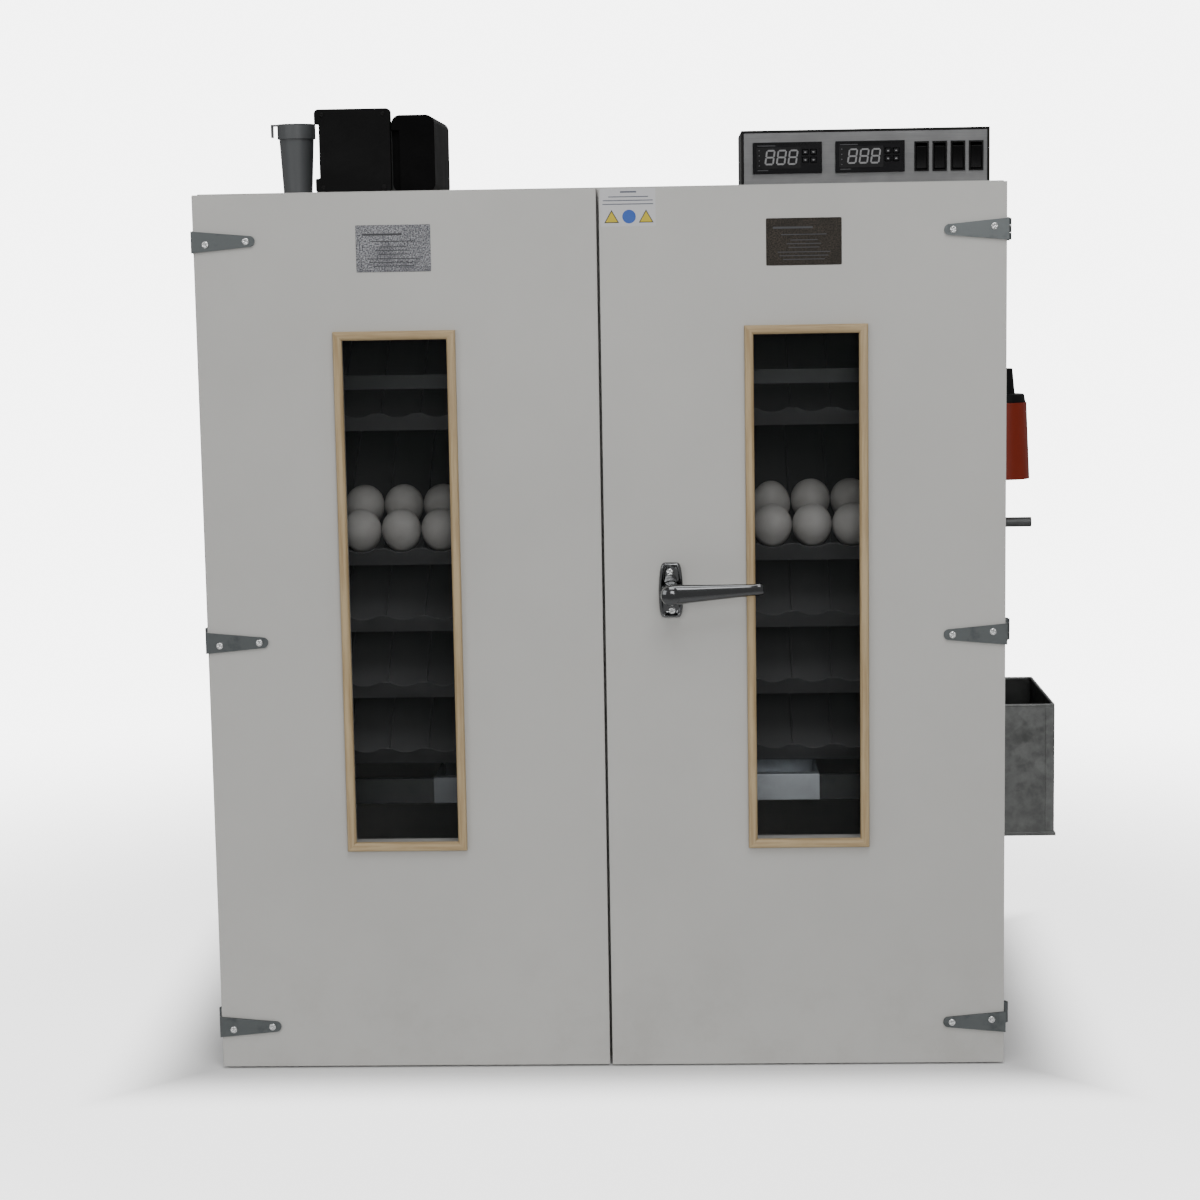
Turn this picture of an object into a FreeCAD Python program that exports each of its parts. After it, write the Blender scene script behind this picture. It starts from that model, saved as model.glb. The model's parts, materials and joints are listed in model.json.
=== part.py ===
import FreeCAD, Part
import os
import re
import Sketcher
from FreeCAD import Placement, Rotation, Vector

# A two-door cabinet egg incubator. Millimetres. +X is to the right as one faces the doors,
# +Y goes into the cabinet, +Z is up. The origin is the centre of the underside.

# ---------------------------------------------------------------- driving dimensions
SIZES = {
    # cabinet
    "width": 900, "tall": 1000, "carcass_front": -241, "carcass_back": 280, "panel": 20,
    "door_front": -280, "door_back": -244, "door_edge": 449, "door_meet": 1.5, "door_clear": 2,
    "post_half": 14, "post_thick": 12, "gasket_clear": 0.4, "gasket_wide": 10, "gasket_meet": 3,
    "gasket_edge": 444, "gasket_end": 6,
    # windows
    "win_in": 170, "win_out": 286.5, "win_low": 266, "win_high": 835.5, "moulding": 10,
    "moulding_proud": 7, "glass": 4, "rebate": 4, "glass_inset": 2,
    # door hinges
    "hinge_x": 454.5, "hinge_y": -242.5, "hinge_low": 50, "hinge_mid": 497.5, "hinge_high": 946.5,
    "knuckle": 4, "pin": 2, "running": 0.05, "knuckle_half": 4, "leaf_half": 12, "leaf_gap": 0.3,
    "strap_tip_x": 386, "strap_tip": 6, "strap_thick": 2.5, "leaf": 2, "leaf_reach": 36, "leaf_step": 0.5,
    "ear_depth": 5.5, "pin_proud": 1,
    # latch
    "latch_x": 75.5, "latch_z": 550.5, "plate_half": 14, "plate_low": 521, "plate_high": 583,
    "plate_thick": 6, "plate_round": 12, "hub": 11.5, "hub_front": -327.5, "spindle": 5,
    "lever_reach": 103, "lever_root": 11.3, "lever_end": 7, "lever_rise": 2.9, "lever_y": -316,
    "tongue_y": -223, "tongue": 4, "tongue_half": 9, "tongue_reach": 70, "keeper": 3, "keeper_half": 22,
    "keeper_shift": 4,
    # tilting egg levels
    "pivot_y": 8, "level_top": 830, "pitch": 79, "tilt": 35, "shaft": 6, "shaft_end": 429,
    "tray_half": 190, "tray_mid": 217, "tray_width": 378, "tray_base": 6.5, "tray_floor": 2.5,
    "tray_top": 32, "tray_wall": 2, "scallop": 26, "scallop_rise": 20, "cell": 46.5, "rib": 1.6,
    "rib_top": 14, "row": 45, "web_in": 408, "web": 4, "web_low": -10, "web_high": 20,
    "web_half": 150, "ledge": 12, "ledge_thick": 2, "mid_web_in": 22, "notch": 9,
    "strip": 8, "strip_half": 12, "strip_low": 400, "strip_high": 866,
    "link_in": 414, "link": 4, "link_half": 10, "link_at": 60, "crank_pin": 4, "crank_slack": 0.5,
    # rails and pan
    "rail_front": -198, "rail_back": -187, "rail_low": 777, "rail_high": 793,
    "pan_left": -205, "pan_right": 245, "pan_back": -70, "pan_low": 293, "pan_high": 322,
    "pan_wall": 1.5, "bearer_low": 281, "bearer_front": -90, "bearer_back": -78,
    # turning gear on the right wall
    "drive_x": 483, "drive_foot": 30.5, "drive_head": 26.5, "drive_low": 647, "drive_high": 740,
    "boss": 34, "cap_foot": 25.5, "cap_head": 23.5, "cap_high": 750, "gland_foot": 12.5, "gland_head": 9.5,
    "gland_high": 781, "drive_shaft_end": 500, "rod_end": 516, "wall_hole": 7,
    # water tank on the right wall
    "tank_out": 541, "tank_front": -30, "tank_back": 175, "tank_low": 209, "tank_high": 373,
    "tank_wall": 2, "foot_high": 4, "foot_proud": 2, "foot_wall": 3, "foot_wall_side": 5,
    "spigot": 8, "spigot_bore": 6, "spigot_z": 300, "spigot_y": -5, "spigot_reach": 20,
    # fan, heater and sensor
    "fan_z": 630, "fan_wheel": 72, "fan_front": 206, "fan_thick": 14, "blade": 2.5, "fan_hub": 16,
    "hub_overlap": 6, "motor": 28, "motor_gap": 2, "motor_front": 226, "motor_foot": 14,
    "motor_foot_thick": 3, "fan_shaft": 3, "fan_shaft_deep": 16, "fan_bore_deep": 18,
    "heater": 92, "heater_tube": 4, "heater_y": 214,
    "sensor_x": -60, "sensor_y": -212, "sensor": 4, "sensor_low": 905,
    # things on the roof
    "cup_x": -352, "cup_y": -130, "cup_foot": 16.5, "cup_waist": 20, "cup_rim": 22, "cup_lip": 1064,
    "cup_top": 1081, "cup_wall": 2, "cup_bore": 6, "cup_spout": 8, "cup_spout_low": 972,
    "hook_reach": 29, "hook_half": 5, "hook_thick": 2, "hook_drop": 15,
    "jbox_left": -324.5, "jbox_right": -237.5, "jbox_front": -180, "jbox_seam": -166, "jbox_back": -118,
    "jbox_top": 1095, "jbox_inset": 6, "jbox_drop": 3, "shell": 2.5, "round": 5, "ear": 5, "ear_tall": 17,
    "lid_wall": 7,
    "supply_right": -187.5, "supply_left": -236.5, "supply_front": -178, "supply_back": 8,
    "supply_top": 1087, "supply_round": 10, "channel_wide": 9, "channel_deep": 7, "channel_top": 1070,
    # control box
    "ctrl_left": 160, "ctrl_right": 437, "ctrl_front": -220, "ctrl_back": -70, "ctrl_top": 1060,
    "ctrl_wall": 3, "face": 2, "unit_left": 173, "unit_pitch": 92, "unit_wide": 77, "unit_tall": 34.5,
    "unit_low": 1012, "unit_bezel": 4, "unit_lip": 3, "unit_deep": 60,
    "key_left": 55.4, "key_low": 12, "key_step_x": 9, "key_step_z": 8.6, "key_wide": 6, "key_tall": 5,
    "key_clear": 0.35, "key_proud": 1.3, "key_deep": 5, "key_room": 2,
    "rocker_left": 354, "rocker_pitch": 20.2, "rocker_wide": 12, "rocker_clear": 1, "rocker_z": 1028.5,
    "rocker_half": 12.5, "rocker_slot": 15, "rocker_tip": 9.5, "rocker_dip": 7, "rocker_back": 2,
    "rocker_pivot": 6, "rocker_rest": 9, "rocker_taper": 1, "rocker_seat": 0.5,
    # eggs
    "egg": 22, "egg_long": 28.5, "egg_lift": 0.2, "egg_gap": 1,
    # how far a cutting tool runs past the face that it cuts
    "over": 1,
}
LEVELS = (1, 2, 3, 4, 5, 6)
EMPTY_LEVEL = 2
EGG_LEVEL = 3
COLUMNS = 8
EGG_ROWS = 2
UPTURNED_EGG = (1, 3, 1)
FAN_BLADES = 6

doc = FreeCAD.newDocument("egg_incubator")
dims = doc.addObject("Spreadsheet::Sheet", "Dims")
for row, (alias, value) in enumerate(SIZES.items(), start=1):
    dims.set("A%d" % row, alias)
    dims.set("B%d" % row, str(value))
    dims.setAlias("B%d" % row, alias)
doc.recompute()

nodes = []


# ---------------------------------------------------------------- building helpers
def bound(text):
    """Turn names of driving dimensions into references to the sheet."""
    return re.sub(r"[a-z][a-z_]*", lambda word: "Dims." + word.group() if word.group() in SIZES
                  else word.group(), text)


def sized(thing, prop, text):
    thing.setExpression(prop, bound(text))


def value(text):
    return float(dims.evalExpression(bound(text)))


def put(thing, x="0", y="0", z="0"):
    for axis, text in zip("xyz", (x, y, z)):
        sized(thing, "Placement.Base." + axis, text)
    return thing


def node(name, thing):
    thing.Label = name
    nodes.append(thing)
    return thing


def block(name, x, y, z):
    """A box given by its low and high side on each axis."""
    box = doc.addObject("Part::Box", name)
    for prop, (low, high) in zip(("Length", "Width", "Height"), (x, y, z)):
        sized(box, prop, "(%s) - (%s)" % (high, low))
    return put(box, x[0], y[0], z[0])


TURN = {"x": Rotation(Vector(0, 1, 0), 90), "y": Rotation(Vector(1, 0, 0), -90), "z": Rotation()}


def rod(name, radius, along, low, high, x="0", y="0", z="0"):
    """A cylinder along one axis, from low to high on it."""
    bar = doc.addObject("Part::Cylinder", name)
    bar.Placement = Placement(Vector(), TURN[along])
    sized(bar, "Radius", radius)
    sized(bar, "Height", "(%s) - (%s)" % (high, low))
    start = {"x": x, "y": y, "z": z}
    start[along] = low
    return put(bar, start["x"], start["y"], start["z"])


def fused(name, *shapes):
    joined = doc.addObject("Part::MultiFuse", name)
    joined.Shapes = list(shapes)
    return joined


def cut(name, base, *tools):
    result = doc.addObject("Part::Cut", name)
    result.Base = base
    result.Tool = tools[0] if len(tools) == 1 else fused(name + "_tools", *tools)
    return result


def group(name, *members):
    together = doc.addObject("Part::Compound", name)
    together.Links = list(members)
    return together


def mirrored(name, source):
    twin = doc.addObject("Part::Mirroring", name)
    twin.Source = source
    twin.Normal = Vector(1, 0, 0)
    return twin


def outline(body, plane, offset, points):
    """A closed sketch on one of the body's own planes, each corner set by the sheet."""
    sketch = body.newObject("Sketcher::SketchObject", body.Name + "_outline")
    face = [item for item in body.Origin.OriginFeatures if item.Role == plane][0]
    sketch.AttachmentSupport = (face, [""])
    sketch.MapMode = "FlatFace"
    sized(sketch, "AttachmentOffset.Base.z", offset)
    corners = [Vector(value(x), value(y), 0) for x, y in points]
    for index, corner in enumerate(corners):
        sketch.addGeometry(Part.LineSegment(corner, corners[(index + 1) % len(corners)]))
    for index in range(len(corners)):
        after = (index + 1) % len(corners)
        sketch.addConstraint(Sketcher.Constraint("Coincident", index, 2, after, 1))
    for index, corner in enumerate(points):
        for kind, text in zip(("DistanceX", "DistanceY"), corner):
            limit = sketch.addConstraint(Sketcher.Constraint(kind, -1, 1, index, 1, value(text)))
            sized(sketch, "Constraints[%d]" % limit, text)
    return sketch


def padded(name, plane, offset, points, thick):
    """A body made by padding one outline."""
    body = doc.addObject("PartDesign::Body", name)
    pad = body.newObject("PartDesign::Pad", name + "_pad")
    pad.Profile = outline(body, plane, offset, points)
    sized(pad, "Length", thick)
    body.Tip = pad
    return body


def pocketed(body, name, plane, offset, points, deep):
    """Cut an outline out of a body and make sure that something came off."""
    doc.recompute()
    before = body.Shape.Volume
    pocket = body.newObject("PartDesign::Pocket", name)
    pocket.Profile = outline(body, plane, offset, points)
    sized(pocket, "Length", deep)
    body.Tip = pocket
    doc.recompute()
    if not body.Shape.Volume < before:
        raise RuntimeError(name + " cuts nothing")
    return pocket


def rounded(body, name, direction, radius):
    """Round the body's edges that run along one direction."""
    doc.recompute()
    tip = body.Tip
    along = ["Edge%d" % (number + 1) for number, edge in enumerate(tip.Shape.Edges)
             if edge.Curve.TypeId == "Part::GeomLine"
             and abs(edge.tangentAt(edge.FirstParameter).dot(direction)) > 0.999]
    fillet = body.newObject("PartDesign::Fillet", name)
    fillet.Base = (tip, along)
    sized(fillet, "Radius", radius)
    body.Tip = fillet


def rectangle(left, low, right, high):
    return [(left, low), (right, low), (right, high), (left, high)]


# ---------------------------------------------------------------- carcass
# Insulated sandwich panels: the sides stand full height, the roof and floor lie between them.
HALF = "width / 2"
INNER = "width / 2 - panel"
DEEP = ("carcass_front", "carcass_back")
ROOF_UNDER = "tall - panel"


def level_height(level):
    return "level_top - %d * pitch" % (level - 1)


right_wall = block("right_wall", (INNER, HALF), DEEP, ("0", "tall"))
THROUGH_SIDE = (INNER + " - over", HALF + " + over")
shaft_holes = [rod("wall_hole_%d" % level, "wall_hole", "x", *THROUGH_SIDE, y="pivot_y",
                   z=level_height(level)) for level in (EGG_LEVEL, EGG_LEVEL + 1)]
spigot_hole = rod("spigot_hole", "spigot", "x", *THROUGH_SIDE, y="spigot_y", z="spigot_z")
node("right_side_panel", cut("right_side", right_wall, *shaft_holes, spigot_hole))
node("left_side_panel", block("left_side", ("-" + HALF, "-(" + INNER + ")"), DEEP, ("0", "tall")))

BETWEEN = ("-(" + INNER + ")", INNER)
roof = block("roof", BETWEEN, DEEP, (ROOF_UNDER, "tall"))
spout_hole = rod("spout_hole", "cup_spout", "z", ROOF_UNDER + " - over", "tall + over", x="cup_x", y="cup_y")
node("top_panel", cut("top", roof, spout_hole))
node("bottom_panel", block("bottom", BETWEEN, DEEP, ("0", "panel")))
node("back_panel", block("back", BETWEEN, ("carcass_back - panel", "carcass_back"), ("panel", ROOF_UNDER)))
POST_BACK = "carcass_front + post_thick"
node("centre_post", block("post", ("-post_half", "post_half"), ("carcass_front", POST_BACK),
                          ("panel", ROOF_UNDER)))
node("latch_keeper", block("keeper_plate", ("keeper_shift - post_half", "keeper_shift + post_half"),
                           (POST_BACK, POST_BACK + " + keeper"),
                           ("latch_z - keeper_half", "latch_z + keeper_half")))

# Two soft strips round the door openings, just short of the closed doors.
SEAL = ("door_back + gasket_clear", "carcass_front")
seal_outer = block("seal_outer", ("gasket_meet", "gasket_edge"), SEAL, ("gasket_end", "tall - gasket_end"))
seal_inner = block("seal_inner", ("gasket_meet + gasket_wide", "gasket_edge - gasket_wide"),
                   (SEAL[0] + " - over", SEAL[1] + " + over"),
                   ("gasket_end + gasket_wide", "tall - gasket_end - gasket_wide"))
right_seal = cut("right_seal", seal_outer, seal_inner)
node("door_gasket", group("gaskets", right_seal, mirrored("left_seal", right_seal)))


# ---------------------------------------------------------------- doors
def door(side, window_tools):
    """One foam-cored door with a window opening, drawn on the right and mirrored for the left."""
    slab = padded(side + "_door", "XZ_Plane", "-door_back",
                  rectangle("door_meet", "door_clear", "door_edge", "tall - door_clear"),
                  "door_back - door_front")
    pocketed(slab, side + "_window_opening", "XZ_Plane", "-door_front",
             rectangle("win_in - rebate", "win_low - rebate", "win_out + rebate", "win_high + rebate"),
             "door_back - door_front")
    return cut(side + "_door_bored", slab, *window_tools) if window_tools else slab


spindle_hole = rod("spindle_hole", "spindle + running", "y", "door_front - over", "door_back + over",
                   x="latch_x", z="latch_z")
node("right_door_panel", door("right", [spindle_hole]))
node("left_door_panel", mirrored("left_door_slab", door("left", [])))

# A mitred timber moulding stands proud of the door and covers the edge of the opening.
frame_outer = block("frame_outer", ("win_in - moulding", "win_out + moulding"),
                    ("door_front - moulding_proud", "door_front"),
                    ("win_low - moulding", "win_high + moulding"))
frame_hole = block("frame_hole", ("win_in", "win_out"),
                   ("door_front - moulding_proud - over", "door_front + over"),
                   ("win_low", "win_high"))
right_frame = node("right_window_frame", cut("right_frame", frame_outer, frame_hole))
node("left_window_frame", mirrored("left_frame", right_frame))

SIGHT = ("win_in - rebate", "win_out + rebate")
SIGHT_TALL = ("win_low - rebate", "win_high + rebate")
outer_pane = block("outer_pane", SIGHT, ("door_front", "door_front + glass"), SIGHT_TALL)
inner_pane = block("inner_pane", SIGHT, ("door_back - glass - glass_inset", "door_back - glass_inset"),
                   SIGHT_TALL)
right_glass = node("right_window_glass", group("right_panes", outer_pane, inner_pane))
node("left_window_glass", mirrored("left_panes", right_glass))

# ---------------------------------------------------------------- door hinges
# A tapered strap lies on the door, turns round its edge and ends in the middle knuckle.
strap = padded("strap", "XZ_Plane", "-door_front",
               [("door_edge + leaf", "leaf_half"), ("strap_tip_x", "strap_tip"),
                ("strap_tip_x", "-strap_tip"), ("door_edge + leaf", "-leaf_half")], "strap_thick")
strap_nose = rod("strap_nose", "strap_tip", "y", "door_front - strap_thick", "door_front", x="strap_tip_x")
strap_turn = block("strap_turn", ("door_edge", "door_edge + leaf"),
                   ("door_front - strap_thick", "hinge_y - knuckle - leaf_step"),
                   ("-leaf_half", "leaf_half"))
strap_neck = block("strap_neck", ("door_edge", "door_edge + leaf"),
                   ("hinge_y - knuckle - over", "hinge_y"), ("-knuckle_half", "knuckle_half"))
strap_knuckle = rod("strap_knuckle", "knuckle", "z", "-knuckle_half", "knuckle_half", x="hinge_x",
                    y="hinge_y")
strap_bore = rod("strap_bore", "pin + running", "z", "-leaf_half", "leaf_half", x="hinge_x", y="hinge_y")
strap_solid = fused("strap_solid", strap, strap_nose, strap_turn, strap_neck, strap_knuckle)
strap_leaf = cut("strap_leaf", strap_solid, strap_bore)

# The other leaf is screwed to the cabinet's side and carries the outer knuckles and the pin.
wall_leaf_parts = []
for name, low, high in (("lower", "-leaf_half", "-knuckle_half - leaf_gap"),
                        ("upper", "knuckle_half + leaf_gap", "leaf_half")):
    wall_leaf_parts.append(rod(name + "_knuckle", "knuckle", "z", low, high, x="hinge_x", y="hinge_y"))
    wall_leaf_parts.append(block(name + "_ear", (HALF, HALF + " + leaf"), ("hinge_y", "hinge_y + ear_depth"),
                                 (low, high)))
wall_leaf_parts.append(block("wall_plate", (HALF, HALF + " + leaf"),
                             ("hinge_y + knuckle + leaf_step", "hinge_y + leaf_reach"),
                             ("-leaf_half", "leaf_half")))
wall_leaf = fused("wall_leaf", *wall_leaf_parts, rod("hinge_pin", "pin", "z", "-leaf_half - pin_proud",
                                                    "leaf_half + pin_proud", x="hinge_x", y="hinge_y"))
HINGE_HEIGHTS = ("hinge_low", "hinge_mid", "hinge_high")


def at_hinges(name, leaf):
    return group(name, *[put(group("%s_%s" % (name, height), leaf), z=height) for height in HINGE_HEIGHTS])


right_straps = node("right_hinge_straps", at_hinges("right_straps", strap_leaf))
node("left_hinge_straps", mirrored("left_straps", right_straps))
right_wall_leaves = at_hinges("right_wall_leaves", wall_leaf)
left_wall_leaves = mirrored("left_wall_leaves", right_wall_leaves)
node("cabinet_hinges", group("wall_leaves", right_wall_leaves, left_wall_leaves))

# ---------------------------------------------------------------- latch on the right door
backplate = padded("backplate", "XZ_Plane", "-door_front",
                   rectangle("latch_x - plate_half", "plate_low", "latch_x + plate_half", "plate_high"),
                   "plate_thick")
rounded(backplate, "backplate_round", Vector(0, 1, 0), "plate_round")
plate_bore = rod("plate_bore", "spindle + running", "y", "door_front - plate_thick - over",
                 "door_front + over", x="latch_x", z="latch_z")
node("handle_backplate", cut("backplate_bored", backplate, plate_bore))

lever_arm = doc.addObject("Part::Cone", "lever_arm")
lever_arm.Placement = Placement(Vector(), Rotation(Vector(0, 1, 0), 90))
for prop, text in (("Radius1", "lever_root"), ("Radius2", "lever_end"), ("Height", "lever_reach"),
                   ("Placement.Rotation.Angle", "90 - lever_rise")):
    sized(lever_arm, prop, text)
put(lever_arm, "latch_x", "lever_y", "latch_z")
hub = rod("latch_hub", "hub", "y", "hub_front", "door_front - plate_thick - leaf_gap", x="latch_x",
          z="latch_z")
spindle = rod("latch_spindle", "spindle", "y", "hub_front + spindle", "tongue_y + tongue", x="latch_x",
              z="latch_z")
tongue = block("tongue_plate", ("latch_x - tongue_half", "latch_x + tongue_half"),
               ("tongue_y", "tongue_y + tongue"), ("latch_z - tongue_reach", "latch_z + tongue_half"))
node("latch_lever", fused("latch", lever_arm, hub, spindle, tongue))

# ---------------------------------------------------------------- rack inside
# Steel strips carry the level shafts in running bores; flat rails and bearers tie the sides.
strip_spots = (("right", (INNER + " - strip", INNER), ("strip_low", "strip_high")),
               ("left", ("-(" + INNER + ")", "-(" + INNER + ") + strip"), ("strip_low", "strip_high")),
               ("middle", ("-strip / 2", "strip / 2"), ("panel", ROOF_UNDER)))
rack_parts = []
shaft_bores = [rod("shaft_bore_%d" % level, "shaft + running", "x", "-(" + HALF + ")", HALF, y="pivot_y",
                   z=level_height(level)) for level in LEVELS]
all_bores = fused("all_shaft_bores", *shaft_bores)
for name, x, z in strip_spots:
    strip = block(name + "_strip", x, ("pivot_y - strip_half", "pivot_y + strip_half"), z)
    rack_parts.append(cut(name + "_bearing_strip", strip, all_bores))
for name, y, z in (("top_rail", ("rail_front", "rail_back"), ("rail_low", "rail_high")),
                   ("low_rail", ("rail_front", "rail_back"), ("pan_low", "pan_high")),
                   ("rear_bearer", ("bearer_front", "bearer_back"), ("bearer_low", "pan_low"))):
    rack_parts.append(block(name, BETWEEN, y, z))
node("rack_frame", group("rack", *rack_parts))

# A galvanised pan hooks over the lower rail and rests on the rear bearer.
pan_x = ("pan_left", "pan_right")
pan_tray = cut("pan_tray", block("pan_outer", pan_x, ("rail_back", "pan_back"), ("pan_low", "pan_high")),
               block("pan_inner", ("pan_left + pan_wall", "pan_right - pan_wall"),
                     ("rail_back + pan_wall", "pan_back - pan_wall"),
                     ("pan_low + pan_wall", "pan_high + over")))
pan_hook = block("pan_hook", pan_x, ("rail_front - pan_wall", "rail_back + pan_wall"),
                 ("pan_high", "pan_high + pan_wall"))
pan_face = block("pan_face", pan_x, ("rail_front - pan_wall", "rail_front"),
                 ("pan_low", "pan_high + pan_wall"))
node("water_pan", fused("pan", pan_tray, pan_hook, pan_face))

# ---------------------------------------------------------------- one level, drawn flat about its shaft
webs = []
for name, inner, ledge_low, ledge_high in (
        ("outer", "web_in", "web_in - ledge", "web_in"),
        ("inner", "mid_web_in", "mid_web_in + web", "mid_web_in + web + ledge")):
    web = block(name + "_web", (inner, inner + " + web"), ("-web_half", "web_half"), ("web_low", "web_high"))
    ledge = block(name + "_ledge", (ledge_low, ledge_high), ("-web_half", "web_half"),
                  ("tray_base - ledge_thick", "tray_base"))
    # The ledge is notched where the shaft runs below the tray.
    webs += [web, cut(name + "_ledge_cut", ledge,
                      block(name + "_notch", (ledge_low + " - over", ledge_high + " + over"),
                            ("-notch", "notch"), ("-notch", "tray_base + over")))]
crank_pin = rod("crank_pin_blank", "crank_pin", "x", "web_in + over", "link_in + link + over", y="link_at")
right_webs = fused("right_webs", *webs)
left_webs = mirrored("left_webs", right_webs)

# A moulded tray: a floor, four walls, cell ribs and a wavy top edge front and back.
tray_x = ("tray_mid - tray_width / 2", "tray_mid + tray_width / 2")
tray_y = ("-tray_half", "tray_half")
tray_outer = block("tray_outer", tray_x, tray_y, ("tray_base", "tray_top"))
tray_hollow = block("tray_hollow", (tray_x[0] + " + tray_wall", tray_x[1] + " - tray_wall"),
                    ("-tray_half + tray_wall", "tray_half - tray_wall"),
                    ("tray_base + tray_floor", "tray_top + over"))
scallops = [rod("scallop_%d" % column, "scallop", "y", "-tray_half - over", "tray_half + over",
                x="tray_mid + (%g) * cell" % (column - (COLUMNS - 1) / 2), z="tray_top + scallop_rise")
            for column in range(COLUMNS)]
tray_shell = cut("tray_shell", tray_outer, tray_hollow, *scallops)
rib_spots = range(1, COLUMNS)
ribs = [block("rib_%d" % spot, ("tray_mid + (%g) * cell - rib / 2" % (spot - COLUMNS / 2),
                                "tray_mid + (%g) * cell + rib / 2" % (spot - COLUMNS / 2)),
              ("-tray_half + tray_wall / 2", "tray_half - tray_wall / 2"), ("tray_base + over", "rib_top"))
        for spot in rib_spots]
right_tray = fused("right_tray", tray_shell, *ribs)
tray_pair = group("tray_pair", right_tray, mirrored("left_tray", right_tray))


def tilted(thing, level):
    """Stand a level's part on its shaft height, front edge down."""
    thing.Placement = Placement(Vector(), Rotation(Vector(1, 0, 0), 1))
    put(thing, y="pivot_y", z=level_height(level))
    sized(thing, "Placement.Rotation.Angle", "tilt")
    return thing


SHAFT_ENDS = {EGG_LEVEL: "drive_shaft_end", EGG_LEVEL + 1: "rod_end"}
for level in LEVELS:
    level_shaft = rod("level_shaft_%d" % level, "shaft", "x", "-shaft_end",
                      SHAFT_ENDS.get(level, "shaft_end"))
    cradle = fused("cradle_body_%d" % level, right_webs, left_webs, level_shaft, crank_pin)
    node("cradle_%d" % level, tilted(cradle, level))
    if level != EMPTY_LEVEL:
        node("trays_%d" % level, tilted(group("tray_group_%d" % level, tray_pair), level))

# An upright bar joins the crank pins, so that all the levels turn together.
PIN_Y = "pivot_y + link_at * cos(tilt * 1deg)"
PIN_RISE = " + link_at * sin(tilt * 1deg)"
BAR_LOW = level_height(LEVELS[-1]) + PIN_RISE + " - link_half"
BAR_HIGH = level_height(LEVELS[0]) + PIN_RISE + " + link_half"
bar = block("link_blank", ("link_in", "link_in + link"), (PIN_Y + " - link_half", PIN_Y + " + link_half"),
            (BAR_LOW, BAR_HIGH))
link_holes = []
for level in LEVELS:
    slack = "running" if level == EGG_LEVEL else "crank_slack"
    link_holes.append(rod("link_hole_%d" % level, "crank_pin + " + slack, "x", "link_in - over",
                          "link_in + link + over", y=PIN_Y, z=level_height(level) + PIN_RISE))
node("link_bar", cut("link", bar, *link_holes))

# ---------------------------------------------------------------- eggs in the two front rows
# A hen's egg has a round broad end and a longer narrow end; most stand narrow end down.
def egg_shape(narrow_up):
    """One egg round its own upright axis, from a smooth half profile, standing on z = 0."""
    wide, half = value("egg"), value("egg_long")
    profile = [Vector(0, 0, 0), Vector(0.62 * wide, 0, 0.16 * half), Vector(wide, 0, 1.12 * half),
               Vector(0.72 * wide, 0, 1.76 * half), Vector(0, 0, 2 * half)]
    curve = Part.BSplineCurve()
    curve.interpolate(Points=profile, InitialTangent=Vector(1, 0, 0.0), FinalTangent=Vector(-1, 0, 0.0))
    face = Part.Face(Part.Wire([curve.toShape(), Part.LineSegment(profile[-1], profile[0]).toShape()]))
    egg = face.revolve(Vector(), Vector(0, 0, 1), 360)
    if narrow_up:
        egg.rotate(Vector(0, 0, half), Vector(1, 0, 0), 180)
    return egg


eggs = []
rest = Placement(Vector(0, value("pivot_y"), value(level_height(EGG_LEVEL))),
                 Rotation(Vector(1, 0, 0), value("tilt")))
for side in (-1, 1):
    for column in range(COLUMNS):
        for line in range(EGG_ROWS):
            across = side * (value("tray_mid") + (column - (COLUMNS - 1) / 2) * value("cell"))
            along = -value("tray_half") + value("tray_wall") + (line + 0.5) * value("row") + value("egg_gap")
            egg = egg_shape(narrow_up=(side, column, line) == UPTURNED_EGG)
            egg.translate(Vector(across, along, value("tray_base + tray_floor + egg_lift")))
            eggs.append(egg)
egg_group = doc.addObject("Part::Feature", "egg_group")
egg_group.Shape = Part.Compound(eggs)
egg_group.Placement = rest
node("eggs", egg_group)

# ---------------------------------------------------------------- turning gear outside
def taper(name, foot, head, low, high):
    """A tapered round on the drive's upright axis."""
    solid = doc.addObject("Part::Cone", name)
    for prop, text in (("Radius1", foot), ("Radius2", head), ("Height", "%s - %s" % (high, low))):
        sized(solid, prop, text)
    return put(solid, "drive_x", "pivot_y", low)


drive_round = taper("drive_round", "drive_foot", "drive_head", "drive_low", "drive_high")
drive_boss = block("drive_boss", (HALF, "drive_x"), ("pivot_y - boss / 2", "pivot_y + boss / 2"),
                   ("drive_low", "drive_low + 2 * boss"))
drive_bore = rod("drive_bore", "shaft + running", "x", HALF + " - over", "drive_shaft_end + over",
                 y="pivot_y", z=level_height(EGG_LEVEL))
node("actuator_body", cut("drive", fused("drive_solid", drive_round, drive_boss), drive_bore))

cap = taper("drive_cap", "cap_foot", "cap_head", "drive_high", "cap_high")
gland = taper("drive_gland", "gland_foot", "gland_head", "cap_high", "gland_high")
node("actuator_end_cap", fused("end_cap", cap, gland))

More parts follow.
